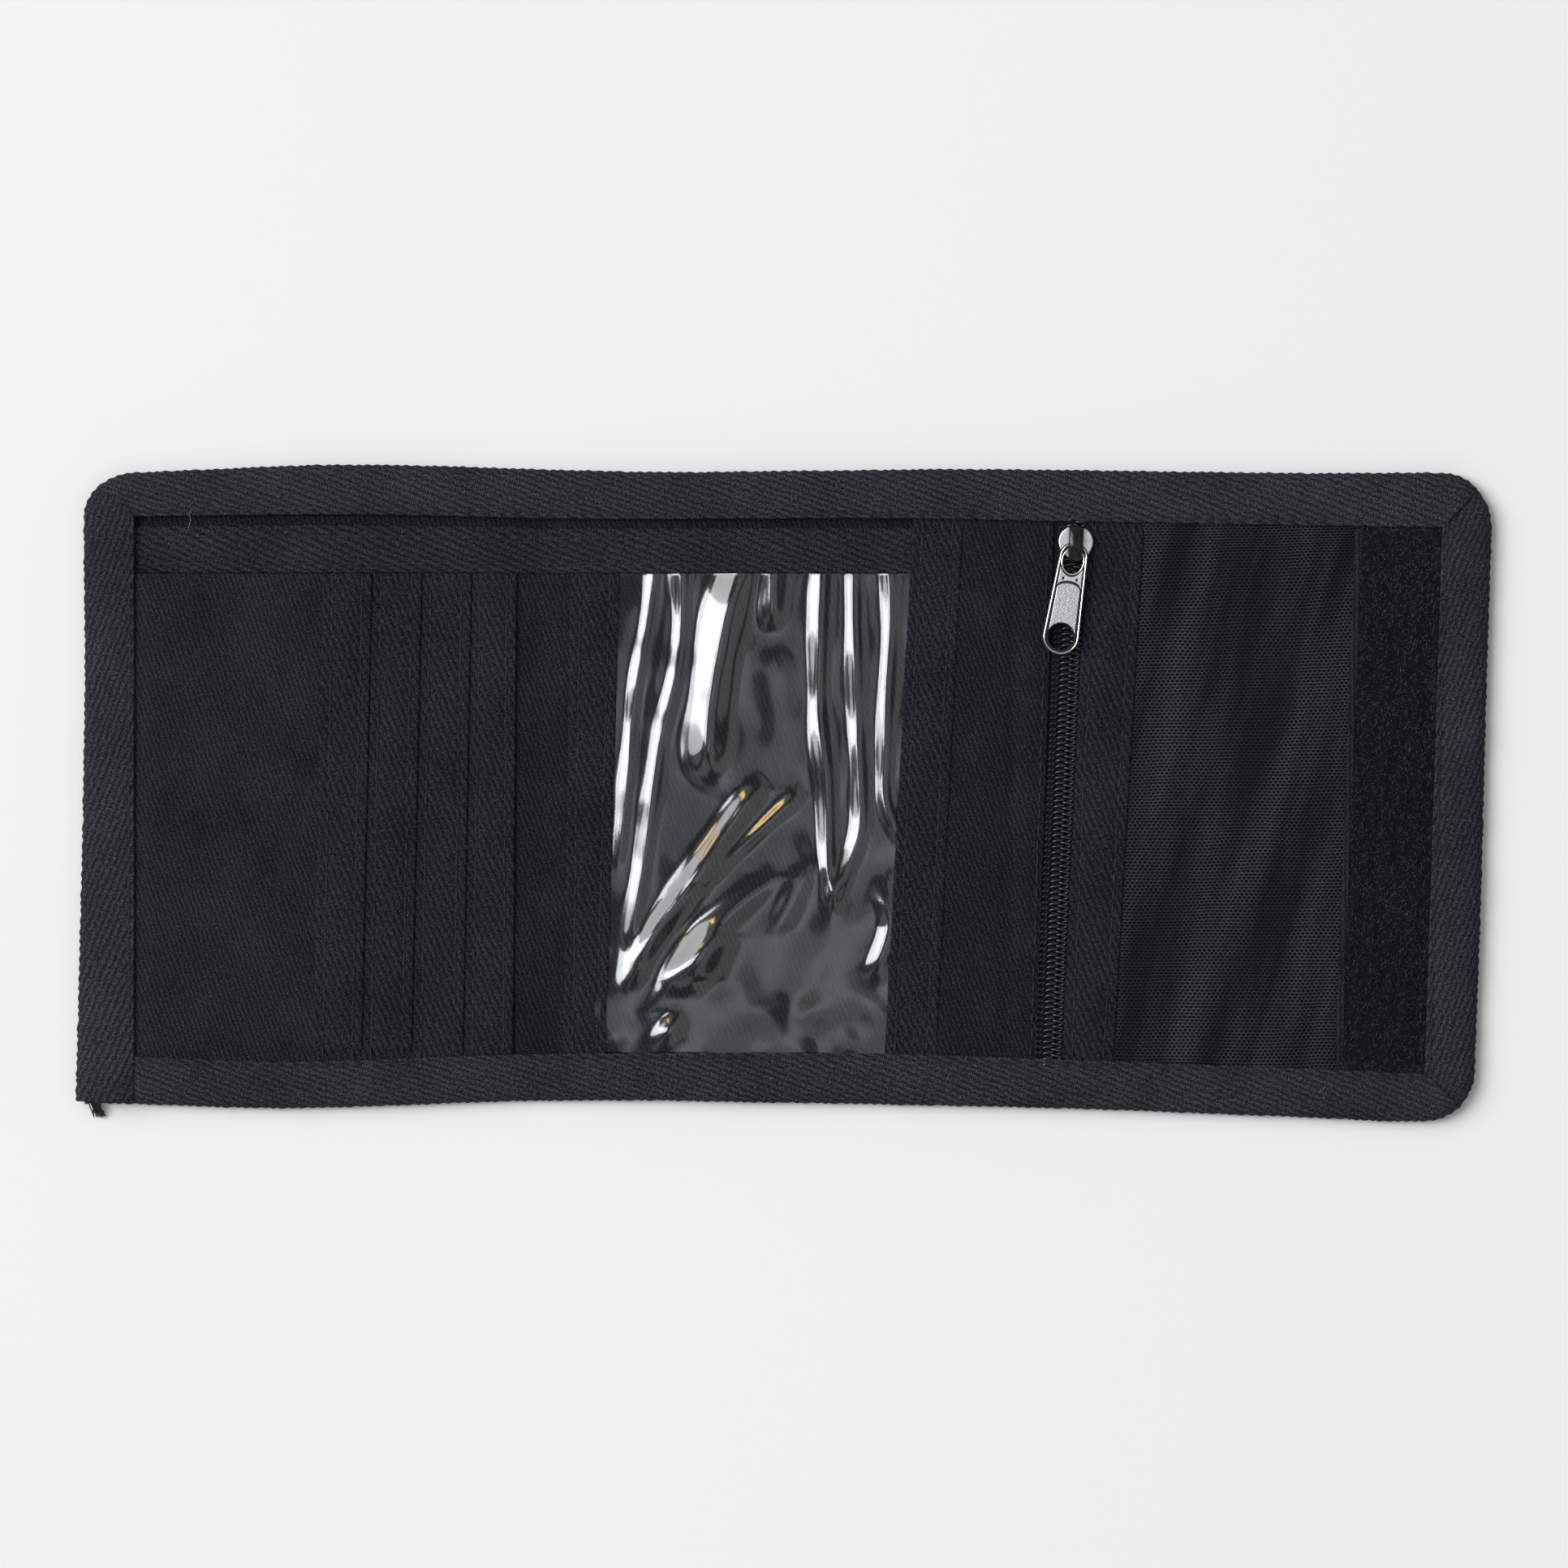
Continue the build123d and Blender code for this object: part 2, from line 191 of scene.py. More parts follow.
def waves(seed, count, shortest, longest):
    """Smooth seeded unevenness of unit size, as a function of x and y."""
    source = np.random.default_rng(seed)
    lengths = source.uniform(shortest, longest, count)
    headings = source.uniform(0, math.tau, count)
    phases = source.uniform(0, math.tau, count)

    def field(x, y):
        total = np.zeros(np.broadcast(x, y).shape)
        for length, heading, phase in zip(lengths, headings, phases):
            along = x * math.cos(heading) + y * math.sin(heading)
            total += np.sin(along * math.tau / length + phase)
        return total / math.sqrt(count)

    return field


swell = waves(11, 9, 28, 90)
ruffle = waves(12, 12, 7, 19)


def settle(points):
    """Moves points of the straight pattern to where the used wallet lies."""
    x, y, z = points.T
    lift = 1 + 0.05 * swell(x, y) + 0.012 * ruffle(x, y)
    return np.stack([x + offset(x, y, COLUMNS), y + offset(y, x, ROWS), z * lift], -1)


# ---------------- joining to the bodies


def bend(piece, first, second, stretch):
    """Bakes the piece's transform into its mesh; the piece is not bent over the stretch of x, and
    first and second, the two bodies, are not used.
    """
    start, end = [(x * MM, 0, 0) for x in stretch]
    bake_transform(piece)


def bend_panel(piece):
    """Cloth of the left panel that reaches into the spine."""
    bend(piece, "left_panel", "left_spine", PANEL_BEND)


def bend_spine(piece):
    """Cloth of the spine's other half, which reaches into the centre."""
    bend(piece, "left_spine", "centre", SPINE_BEND)


def bend_right(piece):
    """Cloth of the centre's right half, which reaches into the zipped panel."""
    bend(piece, "centre", "right_panel", RIGHT_BEND)


def ride(body):
    """A join that fixes a piece to one body."""
    return lambda piece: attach(piece, body)


ride_left, ride_centre, ride_right = ride("left_panel"), ride("centre"), ride("right_panel")

# ---------------- mesh building


def finish_piece(name, mesh, material, sharp, join, nodes=()):
    """Object of a mesh, smooth except at edges sharper than an angle in degrees.
    nodes are the CAD nodes it stands for, and join is applied to it."""
    mesh.polygons.foreach_set("use_smooth", np.ones(len(mesh.polygons), bool))
    mesh.set_sharp_from_angle(angle=math.radians(sharp))
    mesh.materials.clear()
    mesh.materials.append(material)
    piece = bpy.data.objects.new(name, mesh)
    bpy.context.scene.collection.objects.link(piece)
    if nodes:
        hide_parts(*nodes)
    join(piece)
    return piece


def new_piece(name, points, faces, uv, material, join, nodes=(), ends=()):
    """Piece from arrays in millimetres, with quads and a weave UV map.
    ends are the many-sided faces that close it."""
    corners = np.concatenate([faces.ravel(), *ends]).astype(np.int32)
    sizes = np.array([4] * len(faces) + [len(end) for end in ends])
    mesh = bpy.data.meshes.new(name)
    mesh.vertices.add(len(points))
    mesh.vertices.foreach_set("co", (points * MM).ravel())
    mesh.loops.add(len(corners))
    mesh.loops.foreach_set("vertex_index", corners)
    mesh.polygons.add(len(sizes))
    mesh.polygons.foreach_set("loop_start", np.cumsum(sizes) - sizes)
    layer = mesh.uv_layers.new(name="weave")
    layer.data.foreach_set("uv", uv[corners].ravel())
    mesh.update(calc_edges=True)
    mesh.validate()
    return finish_piece(name, mesh, material, 60, join, nodes)


def weave_uv(x, y, angle, pitch):
    """Coordinates along and across the ribs, counted in ribs."""
    a = math.radians(angle)
    along = (x * math.cos(a) + y * math.sin(a)) / pitch
    across = (-x * math.sin(a) + y * math.cos(a)) / pitch
    return np.stack([along, across], -1)


def quads(first, second):
    """Faces between two grids of point numbers that lie side by side."""
    corners = [first[..., :-1, :], second[..., :-1, :], second[..., 1:, :], first[..., 1:, :]]
    return np.stack(corners, -1).reshape(-1, 4)


def paths_of(x, y, z):
    """Paths from the three coordinates of their points."""
    return np.stack(np.broadcast_arrays(x, y, z), -1)


def stations(length, cell, rims):
    """Places along a side: close together at each rounded rim, then even."""
    near = np.array([0, 0.1, 0.35, 0.7])
    first, last = rims
    count = max(2, round((length - first - last) / cell) + 1)
    middle = np.linspace(first, length - last, count)
    start = near * first if first else []
    end = length - near[::-1] * last if last else []
    return np.concatenate([start, middle, end])


def round_corners(x, y):
    """Draws the square corners of the pattern in, to follow the rounded binding."""
    out_x = np.clip(np.abs(x) - INNER_X, 0, None)
    out_y = np.clip(np.abs(y) - INNER_Y, 0, None)
    reach = np.hypot(out_x, out_y)
    scale = np.where(reach > 0, np.maximum(out_x, out_y) / np.maximum(reach, 1e-9), 1.0)
    return x - np.sign(x) * out_x * (1 - scale), y - np.sign(y) * out_y * (1 - scale)


def tuck(x, y, z):
    """Presses high cloth down where it runs in under the binding."""
    inside = np.minimum(INNER_X - np.abs(x), INNER_Y - np.abs(y))
    t = np.clip(inside / TUCK_WIDTH, 0, 1)
    t = t * t * (3 - 2 * t)
    return z - np.clip(z - TUCKED_TOP, 0, None) * (1 - t)


def wall(first, second):
    """Quads between two edges of a slab, and the triangles where the edges meet."""
    faces = np.stack([first[:-1], first[1:], second[1:], second[:-1]], -1)[1:-1]
    start = np.array([first[0], first[1], second[1]])
    end = np.array([first[-2], first[-1], second[-2]])
    return faces, [start, end]


def slab(left, right, bottom, top, height, thick, cell, cut):
    """Closed cloth slab with rounded folded edges. height(x, y) is its upper face.
    cut says whether the left and right ends are cut square to meet the next piece."""
    rim = thick / 2
    middle = (bottom + top) / 2
    width = float(right(middle) - left(middle))
    across = stations(width, cell, [0 if is_cut else rim for is_cut in cut])
    along = stations(top - bottom, cell, (rim, rim))
    y = np.repeat((bottom + along)[:, None], len(across), 1)
    x = left(y) + (right(y) - left(y)) * across / width
    edge = np.minimum(along, top - bottom - along)[:, None]
    if not cut[0]:
        edge = np.minimum(edge, across)
    if not cut[1]:
        edge = np.minimum(edge, width - across)
    drop = rim * (1 - np.sqrt(1 - (1 - np.clip(edge / rim, 0, 1)) ** 2))
    x, y = round_corners(x, y)
    face = tuck(x, y, height(x, y))
    upper = np.stack([x, y, face - drop], -1).reshape(-1, 3)
    lower = np.stack([x, y, face - thick + drop], -1).reshape(-1, 3)
    above = np.arange(x.size).reshape(x.shape)
    below = above + x.size
    below[0], below[-1] = above[0], above[-1]
    walls, ends = [], []
    for is_cut, column in zip(cut, (0, -1)):
        if is_cut:
            edges = (above[:, column], below[:, column])
            faces, triangles = wall(*(edges if column == 0 else edges[::-1]))
            walls.append(faces)
            ends += triangles
        else:
            below[:, column] = above[:, column]
    top_faces = quads(above[:, :-1], above[:, 1:])
    bottom_faces = below.ravel()[top_faces][:, ::-1]
    faces = np.concatenate([top_faces, bottom_faces, *walls])
    return np.concatenate([upper, lower]), faces, ends


def woven(name, left, right, bottom, top, height, thick, fabric, join, nodes=(), cell=0.8,
          cut=(False, False)):
    """A closed slab of a fabric: its ribs' angle and pitch, its material and its slot."""
    angle, pitch, material, slot = fabric
    points, faces, ends = slab(left, right, bottom, top, height, thick, cell, cut)
    uv = weave_uv(points[:, 0], points[:, 1], angle, pitch)
    return new_piece(name, settle(points), faces, uv, material, join, nodes, ends)


def cloth(name, left, right, bottom, top, height, thick, fabric, join, nodes, with_pieces=(),
          **details):
    """A cut piece of cloth as woven builds it. The size it was cut to is worked out but not kept;
    a tape's cut width includes both long edges, turned under."""
    piece = woven(name, left, right, bottom, top, height, thick, fabric, join, nodes, **details)
    middle = (bottom + top) / 2
    width, length = float(right(middle) - left(middle)), top - bottom
    if fabric[-1] == "tape":
        width, length = min(width, length) + 2 * TURNED_UNDER, max(width, length)
    return piece


def tubes(paths, radius, sides=6, reference=(0, 0, 1)):
    """Round threads along many paths of equal length.
    radius is one number, or one per point of a path."""
    paths = np.asarray(paths, float)
    count, length, _ = paths.shape
    radius = np.broadcast_to(np.asarray(radius, float), (length,))
    tangent = np.gradient(paths, axis=1)
    tangent /= np.linalg.norm(tangent, axis=2, keepdims=True)
    side = np.cross(tangent, np.array(reference, float))
    side /= np.maximum(np.linalg.norm(side, axis=2, keepdims=True), 1e-9)
    up = np.cross(side, tangent)
    turn = (np.arange(sides) / sides * math.tau)[:, None]
    ring = side[:, :, None] * np.cos(turn) + up[:, :, None] * np.sin(turn)
    points = paths[:, :, None] + ring * radius[:, None, None]
    index = np.arange(count * length * sides).reshape(count, length, sides)
    faces = quads(index, np.roll(index, -1, axis=2))
    return points.reshape(-1, 3), faces[:, ::-1]


def thread_piece(name, paths, radius, material, slot, join, nodes=(), **kind):
    """Threads along paths of the straight pattern, as one piece."""
    points, faces = tubes(paths, radius, **kind)
    return new_piece(name, settle(points), faces, points[:, :2], material, join, nodes)


# ---------------- materials


class Nodes:
    """Small helper that wires shader nodes of one material."""

    def __init__(self, name):
        self.material = bpy.data.materials.new(name)
        self.material.use_nodes = True
        self.tree = self.material.node_tree
        self.shader = self.tree.nodes["Principled BSDF"]

    def put(self, socket, value):
        """Gives a socket its number, or links another node to it."""
        if isinstance(value, bpy.types.NodeSocket):
            self.tree.links.new(value, socket)
        else:
            socket.default_value = value

    def add(self, kind, inputs=()):
        node = self.tree.nodes.new(kind)
        for key, value in dict(inputs).items():
            self.put(node.inputs[key], value)
        return node

    def math(self, operation, *values):
        node = self.add("ShaderNodeMath", enumerate(values))
        node.operation = operation
        return node.outputs[0]

    def times(self, first, second):
        return self.math("MULTIPLY", first, second)

    def scaled(self, value, factor, start):
        """The value times a factor, plus a start."""
        return self.math("MULTIPLY_ADD", value, factor, start)

    def wave(self, value):
        """Smooth 0 to 1 wave of the value, once per unit."""
        return self.scaled(self.math("COSINE", self.times(value, math.tau)), 0.5, 0.5)

    def ramp(self, value, dark, light):
        """Colour between dark at 0 and light at 1. Sockets 7 to 10 are the node's
        vector ranges: from, to, and the two results."""
        node = self.tree.nodes.new("ShaderNodeMapRange")
        node.data_type = "FLOAT_VECTOR"
        settings = (("Vector", value), (7, (0, 0, 0)), (8, (1, 1, 1)), (9, dark), (10, light))
        for key, setting in settings:
            self.put(node.inputs[key], setting)
        return node.outputs["Vector"]

    def stretch(self, value, start, end):
        """The value stretched so that start gives 0 and end gives 1."""
        settings = enumerate((value, start, end, 0.0, 1.0))
        return self.add("ShaderNodeMapRange", settings).outputs[0]

    def noise(self, place, scale, detail):
        settings = {"Vector": place, "Scale": scale, "Detail": detail}
        return self.add("ShaderNodeTexNoise", settings).outputs[0]

    def object_place(self):
        return self.add("ShaderNodeTexCoord").outputs["Object"]

    def weave_place(self):
        """The weave map, and its coordinates along and across the ribs."""
        uv = self.add("ShaderNodeUVMap")
        uv.uv_map = "weave"
        split = self.add("ShaderNodeSeparateXYZ", {"Vector": uv.outputs[0]})
        return uv.outputs[0], split.outputs[0], split.outputs[1]

    def finish(self, tone, dark, light, rough, specular=0.5, metallic=0.0, relief=None, depth=0.0,
               strength=1.0):
        """Colours the surface by tone, and roughens it by relief over a depth in metres."""
        settings = {
            "Base Color": self.ramp(tone, dark, light), "Roughness": rough,
            "Specular IOR Level": specular, "Metallic": metallic,
        }
        if relief is not None:
            bump = {"Height": relief, "Strength": strength, "Distance": depth}
            settings["Normal"] = self.add("ShaderNodeBump", bump).outputs["Normal"]
        for key, setting in settings.items():
            self.put(self.shader.inputs[key], setting)
        return self.material


def twill(name, dark, light, yarns=2.0):
    """Diagonal rib weave: ribs made of short yarn floats, with a fine fuzzy grain, and painted
    shade in large soft dark patches for the shadows of the cloth's creases.
    """
    nodes = Nodes(name)
    place, u, v = nodes.weave_place()
    wander = nodes.noise(place, 0.4, 3.0)
    across = nodes.scaled(wander, 0.9, v)
    row = nodes.math("FLOOR", across)
    rib = nodes.scaled(nodes.wave(across), 0.75, 0.25)
    slant = nodes.scaled(nodes.math("SUBTRACT", across, row), 0.8, nodes.times(row, 0.41))
    along = nodes.scaled(u, yarns, slant)
    yarn = nodes.scaled(nodes.wave(nodes.scaled(wander, 1.4, along)), 0.8, 0.28)
    fuzz = nodes.scaled(nodes.stretch(nodes.noise(place, 3.2, 2.0), 0.36, 0.64), 1.15, 0.15)
    # painted shade: large soft darker patches stand for the shadows of creases in the cloth
    shade_patches = nodes.scaled(nodes.noise(place, 0.07, 3.0), 1.3, 0.38)
    specks = nodes.stretch(nodes.noise(place, 2.1, 1.0), 0.56, 0.78)
    surface = nodes.times(nodes.times(rib, yarn), fuzz)
    tone = nodes.scaled(specks, 0.5, nodes.times(nodes.times(surface, shade_patches), 0.95))
    return nodes.finish(tone, dark, light, 0.8, 0.06, relief=surface, depth=0.00016, strength=0.9)


def plain_weave(name, dark, light):
    """Plain weave: two crossing sets of yarns whose floats are painted light as glints, under a
    painted sheen that comes and goes in bands.
    """
    nodes = Nodes(name)
    place, u, v = nodes.weave_place()
    bend = nodes.noise(place, 0.03, 2.0)
    across = nodes.scaled(bend, -2.0, v)
    along = nodes.times(nodes.scaled(bend, 2.4, u), 0.72)
    float_u = nodes.wave(nodes.scaled(nodes.math("FLOOR", across), 0.5, along))
    over = nodes.times(nodes.math("POWER", float_u, 1.5), nodes.wave(across))
    # painted sheen: soft slanting bands of lighter colour stand for the nylon's changing gloss,
    # and they brighten the floats' painted glints
    lean = nodes.scaled(u, 0.075, nodes.times(v, -0.022))
    sheen_band_place = nodes.add("ShaderNodeCombineXYZ", {"X": lean, "Y": nodes.times(v, 0.012)})
    sheen_bands = nodes.stretch(nodes.noise(sheen_band_place.outputs[0], 1.0, 2.0), 0.38, 0.66)
    grain = nodes.stretch(nodes.noise(place, 2.4, 2.0), 0.3, 0.75)
    lit = nodes.times(over, nodes.scaled(sheen_bands, 0.85, 0.25))
    tone = nodes.times(lit, nodes.scaled(grain, 1.1, 0.25))
    return nodes.finish(tone, dark, light, 0.5, 0.07, relief=over, depth=0.00012, strength=0.9)


def simple(name, color, rough, metallic=0.0, specular=0.5, scale=900.0, depth=0.00003):
    """Solid material whose tone and surface vary a little with a fine grain."""
    nodes = Nodes(name)
    grain = nodes.noise(nodes.object_place(), scale, 3.0)
    dark, light = [tuple(min(1.0, c * change) for c in color) for change in (0.75, 1.25)]
    return nodes.finish(grain, dark, light, rough, specular, metallic, grain, depth, 0.6)


def hammered(name, color, rough):
    """Bright metal with fine hammer dimples."""
    nodes = Nodes(name)
    place = nodes.object_place()
    cells = nodes.add("ShaderNodeTexVoronoi", {"Vector": place, "Scale": 3300.0})
    cells.feature = "SMOOTH_F1"
    relief = nodes.scaled(nodes.noise(place, 5200.0, 2.0), 0.6, cells.outputs["Distance"])
    dark = tuple(c * 0.8 for c in color)
    return nodes.finish(relief, dark, color, rough, metallic=1.0, relief=relief, depth=0.00005,
                        strength=0.8)


def clear_film(name):
    """Clear soft film: seen through, with a gloss that grows at a slant."""
    nodes = Nodes(name)
    nodes.tree.nodes.remove(nodes.shader)
    haze = nodes.noise(nodes.object_place(), 70.0, 3.0)
    clear = nodes.add("ShaderNodeBsdfTransparent", {"Color": (0.93, 0.94, 0.95, 1.0)})
    white = (1.0, 1.0, 1.0, 1.0)
    gloss = nodes.add("ShaderNodeBsdfAnisotropic", {"Color": white, "Roughness": 0.1})
    share = nodes.add("ShaderNodeFresnel", {"IOR": 1.5}).outputs[0]
    amount = nodes.times(share, nodes.scaled(haze, 0.6, 0.95))
    shaders = enumerate((amount, clear.outputs[0], gloss.outputs[0]))
    mixed = nodes.add("ShaderNodeMixShader", shaders)
    nodes.put(nodes.tree.nodes["Material Output"].inputs["Surface"], mixed.outputs[0])
    return nodes.material


def pale_paper(name):
    """Plain pale ground with hardly any unevenness."""
    nodes = Nodes(name)
    drift = nodes.noise(nodes.object_place(), 3.0, 1.0)
    return nodes.finish(drift, (0.845, 0.845, 0.85), (0.855, 0.855, 0.86), 0.9, 0.05)


def interlining(name):
    """Pale pressed felt."""
    nodes = Nodes(name)
    felt = nodes.noise(nodes.object_place(), 1800.0, 4.0)
    return nodes.finish(felt, (0.2, 0.2, 0.2), (0.45, 0.45, 0.44), 0.95, relief=felt, depth=0.0001,
                        strength=0.7)


BLACK_TWILL = twill("black_twill", (0.001, 0.001, 0.0018), (0.047, 0.047, 0.06))
POCKET_TWILL = twill("pocket_twill", (0.0015, 0.0016, 0.0025), (0.056, 0.057, 0.073))
TAPE_TWILL = twill("tape_twill", (0.0016, 0.0014, 0.0024), (0.056, 0.053, 0.069), yarns=2.7)
MOUTH_TWILL = twill("mouth_tape_twill", (0.002, 0.0018, 0.003), (0.066, 0.063, 0.081), yarns=2.7)
BINDING_TWILL = twill("binding_twill", (0.003, 0.003, 0.0045), (0.084, 0.083, 0.107), yarns=2.7)
NYLON = plain_weave("coin_nylon", (0.002, 0.002, 0.0033), (0.15, 0.152, 0.192))
THREAD = simple("sewing_thread", (0.024, 0.023, 0.029), 0.6, specular=0.15, scale=2500.0)
PALE_THREAD = simple("stray_thread_end", (0.1, 0.1, 0.12), 0.6, specular=0.2, scale=2500.0)
COIL = simple("zipper_coil", (0.009, 0.0095, 0.0125), 0.24, specular=0.75)
ZIP_TAPE = twill("zipper_tape", (0.002, 0.002, 0.003), (0.04, 0.04, 0.05), yarns=2.6)
PILE = simple("loop_pile", (0.006, 0.0065, 0.009), 0.8, specular=0.06, scale=1500.0)
LOOPS = simple("pile_loops", (0.026, 0.029, 0.039), 0.5, specular=0.3, scale=1500.0)
HOOKS = simple("hook_tape", (0.007, 0.007, 0.009), 0.7, specular=0.1, scale=1500.0)
FILM = clear_film("clear_pvc_film")
FELT = interlining("interlining_felt")
POLISHED = simple("slider_nickel", (0.72, 0.73, 0.76), 0.34, metallic=1.0, depth=0.00001)
DARK_METAL = simple("bail_gunmetal", (0.008, 0.007, 0.007), 0.18, specular=0.35)
# Dark metal of the puller's sunk plate; where it shows past the rim it is painted shade, a dark
# outline for the shade and dark reflections round the bright rim
DARK_PLATE_SHADE = simple("puller_painted_shade", (0.012, 0.012, 0.015), 0.5, specular=0.2)
BRIGHT = simple("puller_rim", (0.8, 0.81, 0.84), 0.12, metallic=1.0, depth=0.00001)
HAMMERED = hammered("puller_face", (0.6, 0.61, 0.65), 0.38)

# ---------------- cloth sheets

LEFT_EDGE = -HALF_LENGTH + 1.2
RIGHT_EDGE = HALF_LENGTH - 1.2
SPLIT_X = 0.0
SHEET_REACH = HALF_WIDTH - 1.3
ZIPPER_TAPE_WIDTH = 10.2
STITCH_INSET = 1.9
TAPE_THICK = 0.7
MOUTH_TAPE_THICK = 0.75
FOLD_PANEL_THICK = 0.45
ZIPPER_TAPE_THICK = 0.2
NYLON_THICK = 0.3
FILM_THICK = 0.14

# Fabrics: angle of the ribs in degrees, their pitch, the material and its slot
STEEP = -67.0
SHALLOW = -21.0
TWILL_PITCH = 0.9
TAPE_PITCH = 1.15
SHELL_CLOTH = (STEEP, TWILL_PITCH, BLACK_TWILL, "twill")
LINING_CLOTH = (STEEP - 3, TWILL_PITCH, BLACK_TWILL, "lining")
INNER_CLOTH = (STEEP - 3, TWILL_PITCH, BLACK_TWILL, "twill")
POCKET_CLOTH = (STEEP - 3, TWILL_PITCH, POCKET_TWILL, "twill")
MOUTH_TAPE = (SHALLOW, TAPE_PITCH, MOUTH_TWILL, "tape")
UPRIGHT_TAPE = (STEEP, TAPE_PITCH, TAPE_TWILL, "tape")
ZIPPER_CLOTH = (90.0, 0.6, ZIP_TAPE, "lining")
NYLON_CLOTH = (2.0, 0.63, NYLON, "lining")
WINDOW_FILM = (0.0, 1.0, FILM, "clear_pvc")
SELVAGE = (90.0, 0.9, TAPE_TWILL, "hook_and_loop")
LOOP_BASE = (0.0, 0.5, PILE, "hook_and_loop")
HOOK_BASE = (90.0, 0.8, HOOKS, "hook_and_loop")
STIFFENER = (0.0, 1.0, FELT, "stiffener")

wrinkles_a = waves(21, 8, 16, 60)
wrinkles_b = waves(22, 10, 9, 26)
wrinkles_c = waves(23, 7, 12, 40)
nylon_waves = waves(41, 8, 18, 60)
film_waves = waves(31, 9, 14, 48)
film_ripples = waves(77, 8, 6, 12)


def bump(x, centre, half):
    """Soft rise of unit height round a centre."""
    return np.exp(-(((x - centre) / half) ** 2))


def level(z, size=0.0):
    """A nearly flat height, with soft wrinkles of the given size."""
    return lambda x, y: z + size * wrinkles_a(x, y)


def spine_ease(x):
    """The cloth dips into the spine between the two left creases."""
    return -0.35 * bump(x, SPINE_MIDDLE, 3.4)


def lining_height(x, y):
    return LINING_TOP + 0.04 * wrinkles_b(x, y) + 1.3 * spine_ease(x)


def back_layers():
    """Outer shell and back lining, each cut in three lengths at calm places."""
    parts = (
        ("left", LEFT_EDGE, SPINE_MIDDLE, ["left"], bend_panel, (False, True)),
        ("middle", SPINE_MIDDLE, SPLIT_X, ["left_spine"], bend_spine, (True, True)),
        ("right", SPLIT_X, RIGHT_EDGE, ["centre", "right"], bend_right, (True, False)),
    )
    layers = (
        ("outer_shell", level(SHELL_TOP, 0.03), SHELL_THICK, SHELL_CLOTH),
        ("back_lining", lining_height, LINING_THICK, LINING_CLOTH),
    )
    for name, start, end, stands_for, join, cut in parts:
        for kind, height, thick, fabric in layers:
            nodes = [f"{kind}_{part}" for part in stands_for]
            cloth(f"{kind}_cloth_{name}", line_at(start), line_at(end), -SHEET_REACH, SHEET_REACH,
                  height, thick, fabric, join, nodes, cell=1.2, cut=cut)


def mouth_height(x, y):
    """The compartment's front sags open a little along its mouth."""
    near = np.clip((y - 20) / (MOUTH_TAPE_TOP - 20), 0, 1)
    front = COMPARTMENT_TOP + 0.05 * wrinkles_b(x, y) + 0.1 * near * wrinkles_a(x, y)
    return front + spine_ease(x)


def stitched_crown(share, width):
    """Cross-section of a sewn tape: crowned, and pulled down at both stitch rows."""
    place = share * width
    rows = np.minimum(np.abs(place - STITCH_INSET), np.abs(width - STITCH_INSET - place))
    return 0.16 * np.sin(math.pi * np.clip(share, 0, 1)) ** 0.6 - 0.17 * bump(rows, 0.0, 0.5)


def mouth_tape_height(x, y):
    share = (y - MOUTH_TAPE_BOTTOM) / MOUTH_TAPE_WIDTH
    return mouth_height(x, y) + MOUTH_TAPE_THICK - 0.3 + stitched_crown(share, MOUTH_TAPE_WIDTH)


def banknote_front():
    """Front cloth of the banknote compartment, with its folded mouth tape."""
    fold = line_at(SPINE_MIDDLE)
    join_left = seam("join_tape", -1, 4.0)
    left, left_tape = line_at(LEFT_EDGE), line_at(-INNER_X - 3)
    parts = (
        ("left", left, left_tape, fold, ["left"], bend_panel, (False, True)),
        ("centre", fold, fold, join_left, ["left_spine", "centre"], bend_spine, (True, False)),
    )
    for name, start, tape_start, end, stands_for, join, cut in parts:
        cloth(f"banknote_front_{name}", start, end, -SEWN_END, MOUTH_TAPE_TOP - 0.3, mouth_height,
              CLOTH_THICK, INNER_CLOTH, join, [f"banknote_pocket_{part}" for part in stands_for],
              cut=cut)
        cloth(f"banknote_mouth_tape_{name}", tape_start, end, MOUTH_TAPE_BOTTOM, MOUTH_TAPE_TOP,
              mouth_tape_height, MOUTH_TAPE_THICK, MOUTH_TAPE, join,
              [f"banknote_tape_{part}" for part in stands_for], cell=0.5, cut=cut)


def pocket_height(index):
    """Upper face of card pocket number index: 1 is the front pocket."""
    size = 0.06 if index > 1 else 0.11
    return lambda x, y: (
        POCKET_LEVELS[index] + size * wrinkles_c(x, y) * np.clip((POCKET_TOP - y) / 12, 0, 1)
    )


# Seams and heights of the upright tapes, for their stitches: the part of the wallet,
# left edge, right edge, upper end of the stitches, height
sewn_tapes = []


def upright_tape(name, start, end, top, sewn_top, under, part, node):
    """Folded tape that runs across the wallet on top of the height under(x, y)."""

    def height(x, y):
        width = end(y) - start(y)
        return under(x, y) + 0.32 + stitched_crown((x - start(y)) / width, width)

    join = {"left": ride_left, "middle": ride_centre, "right": ride_right}[part]
    cloth(name, start, end, -SEWN_END, top, height, TAPE_THICK, UPRIGHT_TAPE, join, [node],
          cell=0.5)
    sewn_tapes.append((part, start, end, sewn_top, height))


def card_pockets():
    """Four stepped card pockets, each with a folded tape along its open edge."""
    for index in (4, 3, 2, 1):
        fold = seam(f"card_pocket_{index}", 1)
        height = pocket_height(index)
        cloth(f"card_pocket_cloth_{index}", line_at(LEFT_EDGE), shifted(fold, -0.4), -SEWN_END,
              POCKET_TOP + 0.2, height, CLOTH_THICK, POCKET_CLOTH, ride_left,
              [f"card_pocket_{index}"])
        start = seam(f"card_tape_{index}", -1, 0.0 if index == 1 else -0.6)
        upright_tape(f"card_edge_tape_{index}", start, fold, POCKET_TOP + 0.25, POCKET_TOP, height,
                     "left", f"card_tape_{index}")


